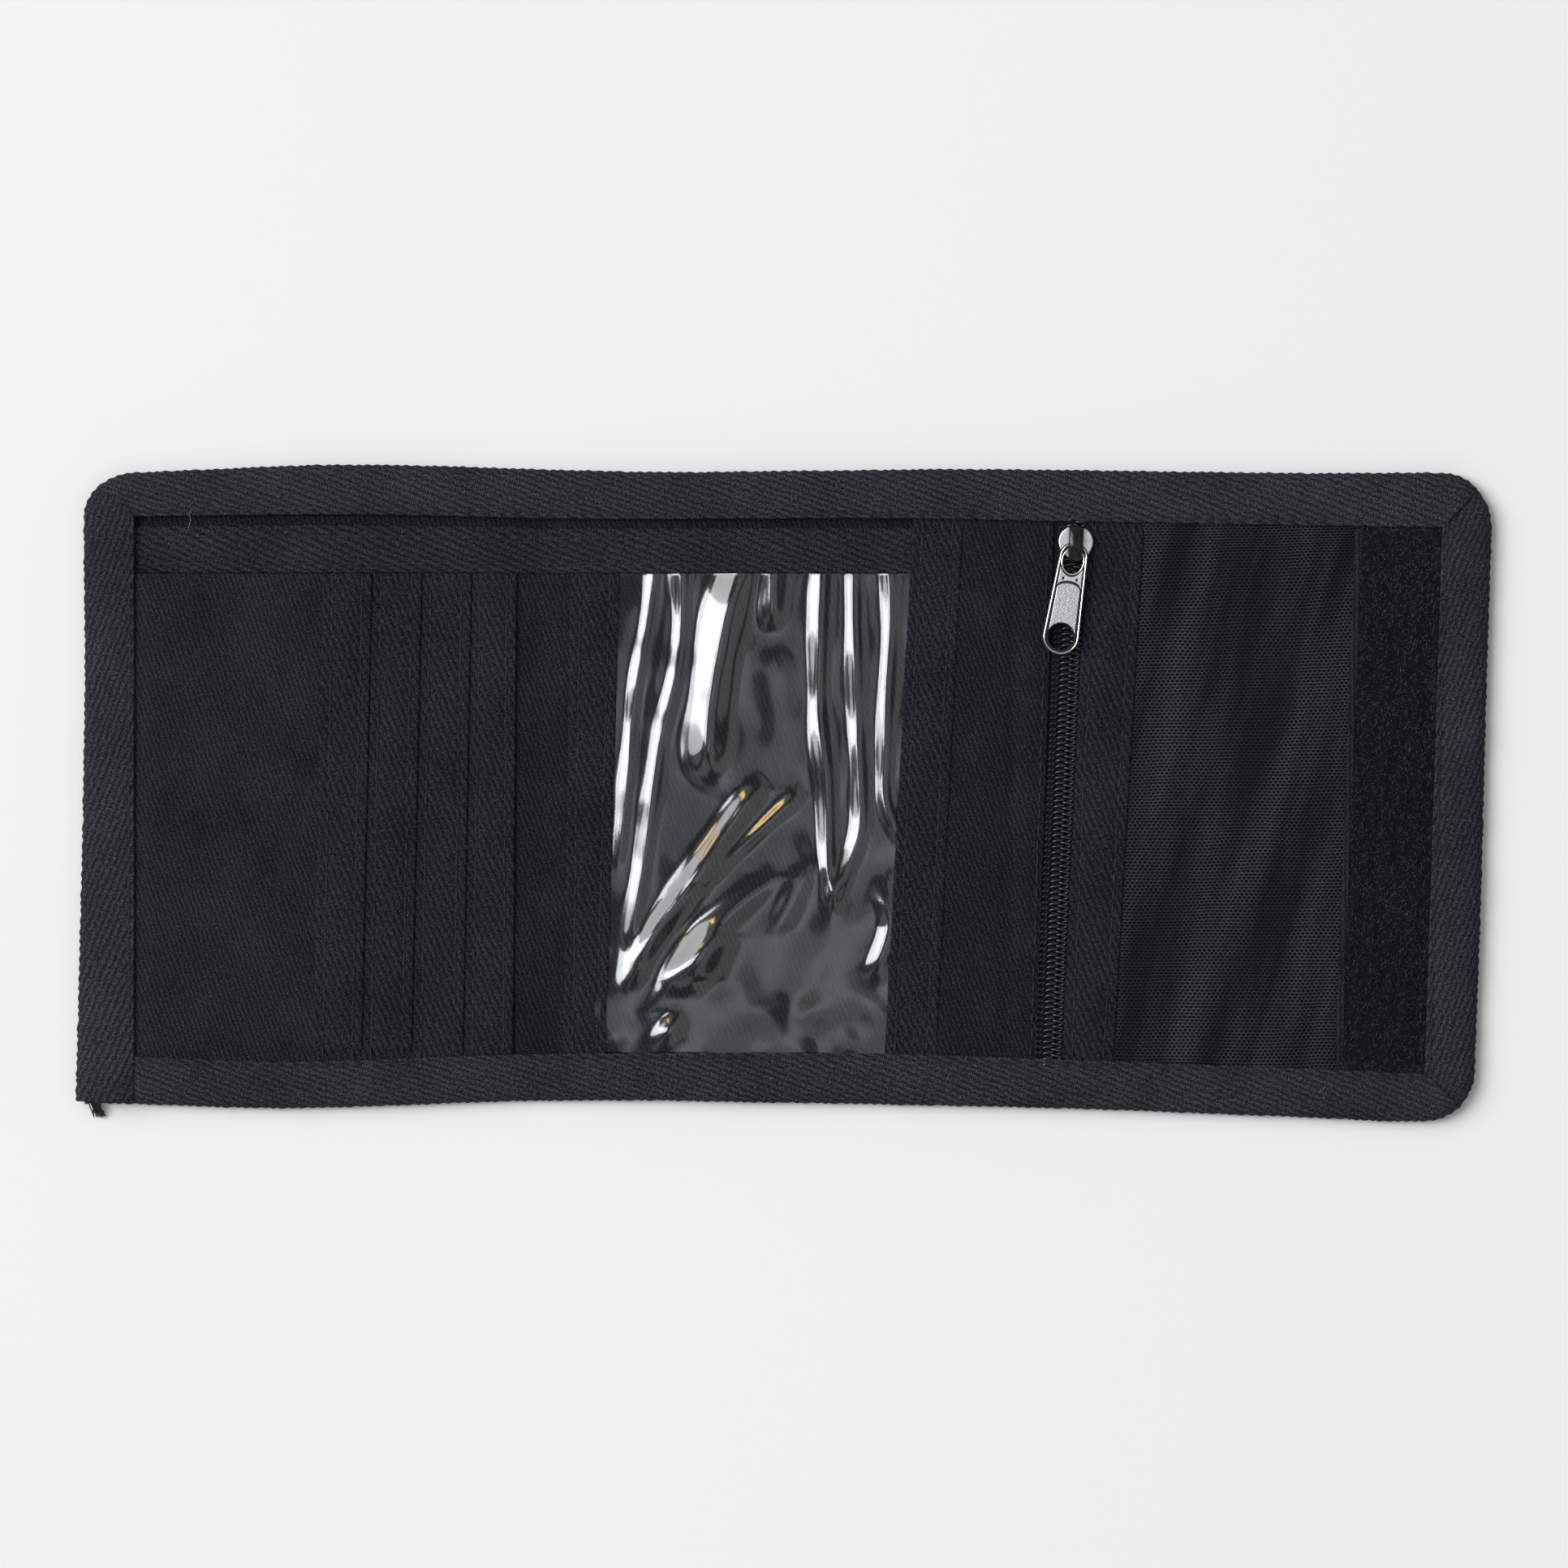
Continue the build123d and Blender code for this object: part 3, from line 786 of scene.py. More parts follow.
# Wrinkles of the clear window: the line of each one's lit side as (y, x) places from
# bottom to top, its half-width, and how steep that side is.
FILM_RIDGES = [
    ([(-14, -32.2), (2.6, -30.5), (18, -29.2), (32, -26.8), (55, -24.0)], 1.0, 0.33),
    ([(-30, -30.4), (-17.5, -28.2), (0, -25.8), (10.4, -24.3), (23, -21.4), (55, -20.6)], 1.35,
     0.32),
    ([(4, -17.0), (15, -16.0), (28, -14.2), (55, -6.5)], 3.0, 0.41),
    ([(32, -4.0), (55, -3.4)], 2.3, 0.34),
    ([(-22, 8.0), (-14, 7.4), (1, 6.9), (14, 5.6), (27, 5.6), (55, 6.8)], 1.55, 0.33),
    ([(-22, 8.6), (-16, 10.9), (-9, 13.4), (0, 13.6), (12, 13.1), (27, 12.6), (55, 12.4)],
     1.35, 0.32),
    ([(-10, 21.0), (-4, 18.7), (7, 18.4), (20, 18.9), (31, 19.5), (55, 18.4)], 1.3, 0.32),
    ([(-38, -30.5), (-30, -27.6), (-22, -21.8), (-8, -12.4), (0, -7.0)], 2.3, 0.27),
    ([(-34, -29.6), (-22, -22.2)], 1.8, 0.12),
    ([(-19, -16.6), (-10, -7.6), (-1.5, 1.2)], 1.35, 0.245),
    ([(-38, -20.8), (-29, -16.4)], 3.6, 0.34),
    ([(-50, -24.4), (-45, -22.6)], 2.2, 0.32),
    ([(-36, 16.2), (-28, 18.8), (-21, 18.6)], 2.0, 0.31),
    ([(-6, -28.6), (12, -26.4), (30, -23.6), (55, -20.8)], 1.3, 0.06),
    ([(-6, -1.0), (8, -3.0), (26, -3.6)], 3.2, 0.055),
    ([(-44, -27.5), (-30, -18.0), (-17, -4.0)], 2.4, 0.12),
    ([(-28, -3.0), (-15, 2.5)], 2.6, 0.13),
    ([(-27, 13.5), (-17, 17.5)], 2.6, 0.12),
]
RIDGE_END = 2.6
# A bump is steepest at this share of its half-width, with this slope
STEEPEST_PLACE = 0.707
STEEPEST_SLOPE = 0.858


def rise(y, place, softness):
    """Soft step from 0 to 2 as y passes a place."""
    return 1 + np.tanh((y - place) / softness)


def film_height(x, y):
    """Height of the wrinkled film over the centre, with fine ripples at its foot."""
    total = np.zeros_like(x)
    for keys, half, steep in FILM_RIDGES:
        lit_x = smooth_curve(keys, y)
        lean = smooth_curve(keys, y + 0.5) - smooth_curve(keys, y - 0.5)
        off = (x - lit_x) / np.sqrt(1 + lean**2) - STEEPEST_PLACE * half
        ends = rise(y, keys[0][0], RIDGE_END) * rise(-y, -keys[-1][0], RIDGE_END) / 4
        total += steep / STEEPEST_SLOPE * half * ends * bump(off, 0.0, half)
    foot = rise(-y, 41, 3.5) / 2
    total += 0.13 * film_waves(x, y) + 0.07 * foot * film_ripples(x, y)
    return high("id_window", 2) + 0.15 + total


def centre_panel():
    """Clear window, its left tape and the join tape beside it."""
    window_left = seam("window_tape", -1, 0.3)
    cloth("clear_window_film", shifted(window_left, 1.0), seam("join_tape", -1, 5.0), -SEWN_END,
          POCKET_TOP + 0.2, film_height, FILM_THICK, WINDOW_FILM, ride_centre, ["id_window"],
          cell=0.45)
    upright_tape("window_edge_tape", window_left, seam("window_tape", 1), POCKET_TOP + 0.25,
                 POCKET_TOP, level(high("id_window", 2) + 0.05), "middle", "window_tape")
    upright_tape("centre_join_tape", seam("join_tape", -1), seam("join_tape", 1), INNER_Y + 3,
                 INNER_Y, level(high("join_tape", 2) - 0.4), "middle", "join_tape")


def fold_panel_height(x, y):
    """Cloth left of the zipper: a soft groove where it folds, raised on both sides."""
    crease = RIGHT_CREASE + 1.0 + 0.6 * np.sin((y + 10) / 30)
    sides = 0.26 * bump(x, crease + 4.0, 3.2) + 0.18 * bump(x, crease - 4.5, 3.4)
    shape = -0.34 * bump(x, crease, 1.5) + sides
    return high("zip_panel_centre", 2) + shape + 0.06 * wrinkles_b(x, y)


def nylon_height(x, y):
    """The coin pocket's nylon front, which billows a little."""
    return high("coin_pocket_front", 2) + 0.12 * nylon_waves(x, y)


def zipped_panel():
    """Cloth beside the zipper, zipper tapes, nylon front and its edge tape."""
    cloth("zipper_side_cloth", seam("join_tape", 1, -3.0), seam("zip_panel_right", 1), -SEWN_END,
          SEWN_END, fold_panel_height, FOLD_PANEL_THICK, INNER_CLOTH, bend_right,
          ["zip_panel_centre", "zip_panel_right"], cell=0.6)
    left_coil, right_coil = seam("zipper_coil_left", 1), seam("zipper_coil_right", -1)
    for name, left, right, join in (
        ("left", shifted(left_coil, -ZIPPER_TAPE_WIDTH), left_coil, bend_right),
        ("right", right_coil, shifted(right_coil, ZIPPER_TAPE_WIDTH), ride_right),
    ):
        cloth(f"zipper_tape_cloth_{name}", left, right, -SEWN_END, SEWN_END,
              level(high("zipper_tape_left", 2) - 0.1, 0.02), ZIPPER_TAPE_THICK, ZIPPER_CLOTH,
              join, [f"zipper_tape_{name}"], cell=0.7)
    cloth("coin_pocket_nylon", seam("coin_pocket_front", -1, 0.6), line_at(RIGHT_EDGE), -SEWN_END,
          SEWN_END, nylon_height, NYLON_THICK, NYLON_CLOTH, ride_right, ["coin_pocket_front"],
          cell=0.7)
    upright_tape("zipper_edge_tape", seam("zip_edge_tape", -1), seam("zip_edge_tape", 1), SEWN_END,
                 INNER_Y, nylon_height, "right", "zip_edge_tape")


# ---------------- edge binding

# Closed section of the folded tape: distance from its inner edge, and height
BINDING_PROFILE = np.array([
    *[(reach, BINDING_TOP + rise_by) for reach, rise_by in (
        (0.0, -0.45), (0.0, -0.25), (0.12, -0.08), (0.35, 0.0), (0.7, -0.03), (1.0, -0.14),
        (1.4, -0.02), (2.5, 0.1), (4.0, 0.17), (5.5, 0.16), (7.0, 0.08), (8.2, -0.08),
        (9.0, -0.35), (9.55, -0.8), (9.88, -1.35),
    )],
    (10.0, BINDING_TOP / 2), (9.88, 1.2), (9.55, 0.65), (9.0, 0.25), (8.2, 0.04), (6.5, 0.0),
    (3.5, 0.0), (0.5, 0.0), (0.0, 0.15), (0.0, 0.4), (0.4, 0.5), (4.5, 0.55), (8.6, 0.6),
    (9.2, BINDING_TOP / 2), (8.6, BINDING_TOP - 0.6), (4.5, BINDING_TOP - 0.5),
    (0.4, BINDING_TOP - 0.5),
])
SCALLOP_PITCH = 1.85
MITRE_HEIGHT = 0.5
scallop_sway = waves(51, 5, 3.6, 6.5)


def run_stations(start, end, outward, cell=0.35):
    """Straight stretch of the binding's inner edge, with its outward direction."""
    start, end = np.array(start, float), np.array(end, float)
    count = max(2, round(np.linalg.norm(end - start) / cell) + 1)
    place = start + (end - start) * np.linspace(0, 1, count)[:, None]
    return np.hstack([place, np.tile(outward, (count, 1))])


def corner_stations(corner, first, last, count=26):
    """Quarter turn round a corner of the inner edge, between two directions."""
    angle = np.radians(np.linspace(first, last, count))
    place = np.tile(corner, (count, 1))
    return np.hstack([place, np.cos(angle)[:, None], np.sin(angle)[:, None]])


def steps_along(points):
    """Length of each straight step of a path."""
    return np.linalg.norm(np.diff(points, axis=0), axis=1)


def travelled(points):
    """Distance of each point along its path."""
    return np.concatenate([[0], np.cumsum(steps_along(points))])


def spine_dip(x):
    """The binding is pressed flatter where the spine folds."""
    return -0.55 * bump(x, SPINE_MIDDLE, 4.5)


def binding_ruffle(x, y):
    return 0.07 * ruffle(x * 1.3, y * 1.3)


def scalloped(path):
    """How far the woven edge swells out at each station, round 1."""
    edge = path[:, :2] + path[:, 2:] * 9.0
    sway = scallop_sway(*edge.T)
    turns = math.tau * travelled(edge) / SCALLOP_PITCH
    return 1 + 0.005 * sway + 0.011 * np.sin(turns + 1.2 * sway)


def binding(name, path, angle, nodes, join, lift=None, squeeze=None):
    """Sweeps the folded tape along its stations. lift raises its upper face at
    each station, and squeeze presses the whole section into less height."""
    reach, section = BINDING_PROFILE.T
    place, outward = path[:, None, :2], path[:, None, 2:]
    ripple = np.where(reach > 6, scalloped(path)[:, None], 1.0)
    xy = place + outward * reach[:, None] * ripple[..., None]
    z = np.tile(section, (len(path), 1))
    upper = np.clip((z - 1.2) / (BINDING_TOP - 1.2), 0, 1)
    raised = spine_dip(xy[..., 0])
    if lift is not None:
        fade = (1 - (reach / BINDING_WIDTH) ** 4) * np.clip(reach / 1.5, 0, 1)
        raised = raised + lift[:, None] * fade
    z = z + upper * raised + upper * binding_ruffle(xy[..., 0], xy[..., 1])
    if squeeze is not None:
        z = z * (1 - squeeze[:, None]) + squeeze[:, None] * (0.35 + z * 0.72)
    points = np.concatenate([xy, z[..., None]], -1).reshape(-1, 3)
    flat = place + outward * travelled(BINDING_PROFILE)[:, None]
    uv = weave_uv(flat[..., 0], flat[..., 1], angle, TAPE_PITCH).reshape(-1, 2)
    index = np.arange(z.size).reshape(z.shape)
    faces = quads(index, np.roll(index, -1, axis=1))
    ends = [index[0], index[-1, ::-1]]
    if np.cross(path[-1, :2] - path[0, :2], path[len(path) // 2, 2:]) < 0:
        faces = faces[:, ::-1]
        ends = [end[::-1] for end in ends]
    piece = new_piece(name, settle(points), faces, uv, BINDING_TWILL, join, nodes, ends)


def mitre_lift(path, angle):
    """Raised flap that ends at the mitre's diagonal, as heights per station."""
    direction = np.degrees(np.arctan2(path[:, 3], path[:, 2]))
    away = np.abs((direction - angle + 180) % 360 - 180)
    return MITRE_HEIGHT * bump(away, 0.0, 17.0) * (away < 44.9)


def fade_out(distance):
    """1 well below a place and 0 well above it, over about a millimetre."""
    return 1 / (1 + np.exp(distance * 3))


def bindings():
    """All lengths of the edge binding, mitred at three corners. Each tape ends just
    beside the corner's diagonal, so that one laps over the other."""
    x, y = INNER_X, INNER_Y
    upward, downward, leftward, rightward = (0, 1), (0, -1), (-1, 0), (1, 0)
    left = np.vstack([
        run_stations((-x, -HALF_WIDTH + 0.5), (-x, y), leftward),
        corner_stations((-x, y), 180, 134, 20)[1:],
    ])
    binding("edge_binding_left", left, 90 + SHALLOW, ["binding_left"], ride_left,
            lift=0.55 * fade_out(left[:, 1] + y - 0.6))
    top_left = np.vstack([
        corner_stations((-x, y), 135.5, 90),
        run_stations((-x, y), (SPINE_MIDDLE, y), upward)[1:],
    ])
    binding("edge_binding_top_left", top_left, SHALLOW, ["binding_top_left"], bend_panel,
            lift=mitre_lift(top_left, 135))
    bottom_left = run_stations((-HALF_LENGTH + 1.5, -y), (SPINE_MIDDLE, -y), downward)
    binding("edge_binding_bottom_left", bottom_left, SHALLOW, ["binding_bottom_left"],
            bend_panel, squeeze=fade_out(bottom_left[:, 0] + x))
    for side, outward, name in ((1, upward, "top"), (-1, downward, "bottom")):
        middle = run_stations((SPINE_MIDDLE, side * y), (SPLIT_X, side * y), outward)
        binding(f"edge_binding_{name}_middle", middle, SHALLOW,
                [f"binding_{name}_left_spine"], bend_spine)
        right = np.vstack([
            run_stations((SPLIT_X, side * y), (x, side * y), outward),
            corner_stations((x, side * y), side * 90, side * 44.5)[1:],
        ])
        binding(f"edge_binding_{name}_right", right, SHALLOW,
                [f"binding_{name}_centre", f"binding_{name}_right"], bend_right,
                lift=mitre_lift(right, side * 45))
    right_end = np.vstack([
        corner_stations((x, -y), -46, 0, 20),
        run_stations((x, -y), (x, y), rightward)[1:],
        corner_stations((x, y), 0, 46, 20)[1:],
    ])
    binding("edge_binding_right", right_end, 90 + SHALLOW, ["binding_right"], ride_right)


# ---------------- stitching

STITCH_PITCH = 3.0
STITCH_LENGTH = 2.35
THREAD_RADIUS = 0.18
BINDING_ROW = 1.0


def stitch_paths(start, end, height):
    """Small arched stitches between two points, on top of height(x, y)."""
    start, end = np.array(start, float), np.array(end, float)
    length = np.linalg.norm(end - start)
    count = max(1, int(length / STITCH_PITCH))
    direction = (end - start) / length
    middle = (np.arange(count) + 0.5) * (length / count)
    offsets = np.array([-0.5, -0.32, 0.0, 0.32, 0.5]) * STITCH_LENGTH
    place = start + direction * (middle[:, None] + offsets)[..., None]
    jitter = rng.normal(0, 0.05, (count, 1))
    x = place[..., 0] + jitter * -direction[1]
    y = place[..., 1] + jitter * direction[0]
    return paths_of(x, y, height(x, y) + np.array([-0.22, 0.06, 0.14, 0.06, -0.22]))


def binding_row_height(x, y):
    return BINDING_TOP - 0.1 + spine_dip(x) + binding_ruffle(x, y)


def stitching():
    """Every visible row of stitches, grouped by the part of the wallet it moves with."""
    rows = {"left": [], "middle": [], "right": []}

    def sew(part, start, end, height):
        rows[part].append(stitch_paths(start, end, height))

    x, y = INNER_X + BINDING_ROW, INNER_Y + BINDING_ROW
    sew("left", (-x, -y), (-x, y), binding_row_height)
    sew("right", (x, -y), (x, y), binding_row_height)
    for row in (-y, y):
        sew("left", (-x, row), (SPINE_MIDDLE, row), binding_row_height)
        sew("middle", (SPINE_MIDDLE, row), (SPLIT_X, row), binding_row_height)
        sew("right", (SPLIT_X, row), (x, row), binding_row_height)
    for row in (MOUTH_TAPE_BOTTOM + STITCH_INSET, MOUTH_TAPE_TOP - STITCH_INSET):
        sew("left", (-INNER_X, row), (SPINE_MIDDLE, row), mouth_tape_height)
        sew("middle", (SPINE_MIDDLE, row), point_on(seam("join_tape", -1), row), mouth_tape_height)
    for part, left, right, top, height in sewn_tapes:
        for edge, inset in ((left, STITCH_INSET), (right, -STITCH_INSET)):
            sew(part, point_on(edge, -INNER_Y, inset), point_on(edge, top, inset), height)
    edge = seam("zip_panel_right", 1, -1.1)
    sew("right", point_on(edge, -INNER_Y), point_on(edge, INNER_Y), fold_panel_height)
    radius = THREAD_RADIUS * np.array([0.35, 0.95, 1.05, 0.95, 0.35])
    for part, join in (("left", bend_panel), ("middle", bend_spine), ("right", bend_right)):
        paths = np.concatenate(rows[part])
        thread_piece(f"stitches_{part}", paths, radius, THREAD, "tape", join)


# ---------------- zipper

COIL_PITCH = 1.11
COIL_OFFSET = 0.82
COIL_HALF_WIDTH = 1.0
COIL_HALF_HEIGHT = 0.36
COIL_WIRE = 0.25
POINTS_PER_TURN = 14
SEWING_RADIUS = 0.21
SEWING_COLUMNS = (-0.55, -1.25)


def coil_lane(name, side):
    """One coil: a flattened helix of round filament along the zipper."""
    inner = seam(f"zipper_coil_{name}", -side)
    bottom, top = low(f"zipper_coil_{name}", 1) - 2, high(f"zipper_coil_{name}", 1) + 1
    turns = (top - bottom) / COIL_PITCH
    t = np.arange(int(turns * POINTS_PER_TURN)) / POINTS_PER_TURN
    phase = t * math.tau + (math.pi if side > 0 else 0)
    y = bottom + t * COIL_PITCH + 0.12 * np.sin(phase)
    centre = inner(y) - side * 0.35 + side * COIL_OFFSET
    swing = np.cos(phase)
    x = centre + side * COIL_HALF_WIDTH * np.sign(swing) * np.abs(swing) ** 0.8
    z = high(f"zipper_coil_{name}", 2) - 0.62 + COIL_HALF_HEIGHT * np.sin(phase)
    return paths_of(x, y, z)[None]


def chain_row(start, end):
    """Slanted chain stitches that hold a coil to its tape."""
    start, end = np.array(start), np.array(end)
    count = int(np.linalg.norm(end - start) / COIL_PITCH)
    middle = start + (end - start) * ((np.arange(count) + 0.5) / count)[:, None]
    offsets = np.array([-0.5, -0.3, 0.0, 0.3, 0.5])
    arch = np.array([-0.2, 0.0, 0.08, 0.0, -0.2])
    return paths_of(middle[:, :1] + offsets * 0.75, middle[:, 1:] + offsets * 0.42,
                    high("zipper_tape_left", 2) + 0.3 + arch)


def zipper_coils():
    """Two meshed coils and the sewing along the left one."""
    for side, name in ((-1, "left"), (1, "right")):
        thread_piece(f"zipper_coil_wire_{name}", coil_lane(name, side), COIL_WIRE, COIL, "coil",
                     ride_right, [f"zipper_coil_{name}"], sides=8, reference=(0, 1, 0))
    bottom, top = low("zipper_coil_left", 1), high("zipper_coil_left", 1)
    edge = seam("zipper_coil_left", -1)
    rows = [chain_row(point_on(edge, bottom, column), point_on(edge, top, column))
            for column in SEWING_COLUMNS]
    radius = SEWING_RADIUS * np.array([0.4, 1.0, 1.1, 1.0, 0.4])
    thread_piece("zipper_sewing", np.concatenate(rows), radius, THREAD, "coil", ride_right)


def flat_plate(outlines, low_z, high_z, bevel):
    """Flat plate with rounded edges, from an outer outline and its holes.
    Returns a mesh in millimetres."""
    curve = bpy.data.curves.new("plate", "CURVE")
    curve.dimensions = "2D"
    curve.fill_mode = "BOTH"
    curve.bevel_depth = bevel
    curve.bevel_resolution = 3
    curve.offset = -bevel
    curve.extrude = (high_z - low_z) / 2 - bevel
    for outline in outlines:
        spline = curve.splines.new("POLY")
        spline.points.add(len(outline) - 1)
        padded = np.hstack([outline, np.zeros((len(outline), 1)), np.ones((len(outline), 1))])
        spline.points.foreach_set("co", padded.ravel())
        spline.use_cyclic_u = True
    holder = bpy.data.objects.new("plate", curve)
    bpy.context.scene.collection.objects.link(holder)
    mesh = bpy.data.meshes.new_from_object(holder)
    bpy.data.objects.remove(holder)
    mesh.transform(Matrix.Translation((0, 0, (low_z + high_z) / 2)))
    return mesh


def metal_plates(plates, place, body, nodes_of):
    """Plates in their place in the frame, each given as its name, outline and holes,
    lowest and highest z, bevel and material. nodes_of has the CAD nodes of some."""
    for name, outlines, low_z, high_z, bevel, material in plates:
        mesh = flat_plate(outlines, low_z, high_z, bevel)
        mesh.transform(Matrix.Scale(MM, 4) @ place)
        finish_piece(name, mesh, material, 40, ride(body), nodes_of.get(name, ()))


def arc(cy, rx, ry, angles, cx=0.0):
    """Points of an ellipse at the given angles."""
    return np.stack([cx + rx * np.cos(angles), cy + ry * np.sin(angles)], -1)


def ellipse(cy, rx, ry, count=64, cx=0.0):
    return arc(cy, rx, ry, np.arange(count) / count * math.tau, cx)


# The pull tab wraps a small circle at its top and a large one round the grip hole
PULLER_TOP_Y, PULLER_TOP_RADIUS = -2.1, 2.6
GRIP_Y, GRIP_RADIUS, GRIP_HOLE = -17.4, 3.35, 2.5
RIM_WIDTH = 0.3
RING_Y = -2.9
FACE_TOP_Y = -8.4
FACE_HALF_WIDTH = 2.23


def puller_place():
    """Puller frame: its origin on the ring's bar, its blade along -Y."""
    lift = joint("puller_lift")
    angle = math.atan2(lift["axis"][1], lift["axis"][0])
    return Matrix.Translation(Vector(lift["pos_m"]) / MM) @ Matrix.Rotation(angle, 4, "Z")


def puller_outline(inset=0.0, count=40):
    """Outline that wraps both circles, moved inwards by inset."""
    tilt = math.asin((GRIP_RADIUS - PULLER_TOP_RADIUS) / (PULLER_TOP_Y - GRIP_Y))
    upper = np.linspace(tilt, math.pi - tilt, count)
    lower = np.linspace(math.pi - tilt, math.tau + tilt, count)
    top, bottom = PULLER_TOP_RADIUS - inset, GRIP_RADIUS - inset
    return np.concatenate([
        arc(PULLER_TOP_Y, top, top, upper), arc(GRIP_Y, bottom, bottom, lower),
    ])


def puller():
    """Pull tab: dark recessed plate that also shows past the rim as a painted shade outline, shiny
    rim, dimpled neck and hammered face.
    """
    half = (high("zip_puller", 2) - low("zip_puller", 2)) / 2
    ring_hole = ellipse(RING_Y, 1.95, 2.4)
    grip_hole = ellipse(GRIP_Y, GRIP_HOLE, GRIP_HOLE)
    dome = arc(FACE_TOP_Y, FACE_HALF_WIDTH, 1.25, np.linspace(math.pi, 0, 20))
    round_grip = GRIP_HOLE + 0.12
    face_foot = arc(GRIP_Y, round_grip, round_grip, np.radians(np.linspace(14, 166, 24)))
    neck_top = arc(RING_Y, 2.35, 3.0, np.radians(np.linspace(-25, -155, 20)))
    neck = np.concatenate([dome + [0, 0.42], neck_top])
    dimples = [ellipse(-6.35, 0.26, 0.26, 16, cx=dx) for dx in (-1.3, 1.3)]
    metal_plates(
        (
            ("puller_rim", [puller_outline(), puller_outline(RIM_WIDTH)], -half, half, 0.14,
             BRIGHT),
            ("puller_ring_collar", [ellipse(RING_Y, 2.22, 2.67), ring_hole], -half + 0.1,
             half - 0.08, 0.1, BRIGHT),
            ("puller_face", [np.concatenate([dome, face_foot])], -0.1, half + 0.05, 0.12,
             HAMMERED),
            ("puller_neck", [neck, *dimples], -0.1, half - 0.02, 0.08, POLISHED),
            # painted shade: the dark plate reaches 0.2 mm past the rim, as a dark outline for the
            # shade and dark reflections round it
            ("puller_plate", [puller_outline(-0.2), ring_hole, grip_hole], -half + 0.05,
             half - 0.3, 0.1, DARK_PLATE_SHADE),
        ),
        puller_place(), "puller", {"puller_plate": ["zip_puller"]},
    )


# Middle line of the slider's bail from the side, as (y, z), and its section
BAIL_LINE = np.array([
    (2.6, 4.2), (2.85, 4.8), (2.7, 5.5), (2.25, 5.95), (1.3, 6.22), (0.0, 6.3), (-1.3, 6.22),
    (-2.4, 5.9), (-3.2, 5.4), (-3.6, 4.8), (-3.65, 4.2),
])
BAIL_HALF_WIDTH = 1.45
BAIL_FLATNESS = 0.27


def slider_outline(half_width, half_length, count=72):
    """Rounded shield outline, a little narrower at the bottom."""
    points = ellipse(0, half_width, half_length, count)
    points[:, 0] *= 1 + 0.05 * points[:, 1] / half_length
    return points


def slider_place():
    """Slider frame: its origin on the table under the slider, its nose along Y."""
    lowest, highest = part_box("slider_body")
    centre = (lowest + highest) / 2 / MM + Vector((0, -0.2, 0))
    slide = joint("zip_slide")
    angle = math.atan2(slide["axis"][0], -slide["axis"][1])
    return Matrix.Translation((centre[0], centre[1], 0)) @ Matrix.Rotation(angle, 4, "Z")


def slider():
    """Slider: two plates, side lips and the divider."""
    lips = [(f"slider_lip_{number}", [ellipse(0, 0.22, 2.2, 24, cx=x)], 3.65, 4.2, 0.05, POLISHED)
            for number, x in ((1, -2.6), (2, 2.6))]
    metal_plates(
        (
            ("slider_upper_plate", [slider_outline(3.3, 3.2)], 4.0, 4.7, 0.24, POLISHED),
            ("slider_lower_plate", [slider_outline(3.0, 3.1)], 1.9, 2.4, 0.15, POLISHED),
            ("slider_divider", [ellipse(2.3, 0.2, 1.0, 20)], 2.2, 4.2, 0.03, POLISHED),
            *lips,
        ),
        slider_place(), "slider", {"slider_upper_plate": ["slider_body"]},
    )


def bail():
    """Dark arched strap over the slider that holds the pull tab."""
    line = np.hstack([np.zeros((len(BAIL_LINE), 1)), BAIL_LINE])
    fine = np.linspace(0, len(line) - 1, 49)
    smooth = np.stack([smooth_curve(list(enumerate(column)), fine) for column in line.T], -1)
    share = np.linspace(0, 1, len(fine))
    round_end = np.clip(np.minimum(share, 1 - share) / 0.16, 0, 1)
    end_width = 0.55 + 0.45 * np.sqrt(1 - (1 - round_end) ** 2)
    width = (BAIL_HALF_WIDTH - 0.18 * share) * end_width
    points, faces = tubes(smooth[None], width, sides=16, reference=(1, 0, 0))
    middle = np.repeat(smooth, 16, axis=0)
    points = middle + (points - middle) * [1, BAIL_FLATNESS, BAIL_FLATNESS]
    place = np.array(slider_place())
    points = (place[:3, :3] @ points.T).T + place[:3, 3]
    new_piece("slider_bail", points, faces, points[:, :2], DARK_METAL,
              ride("slider"))


# ---------------- hook and loop

LOOP_COUNT = 5200
LOOP_THREAD = 0.055
HOOK_THREAD = 0.09
HOOK_SPACING = (1.45, 1.5)
HOOK_BASE_THICK = 0.34


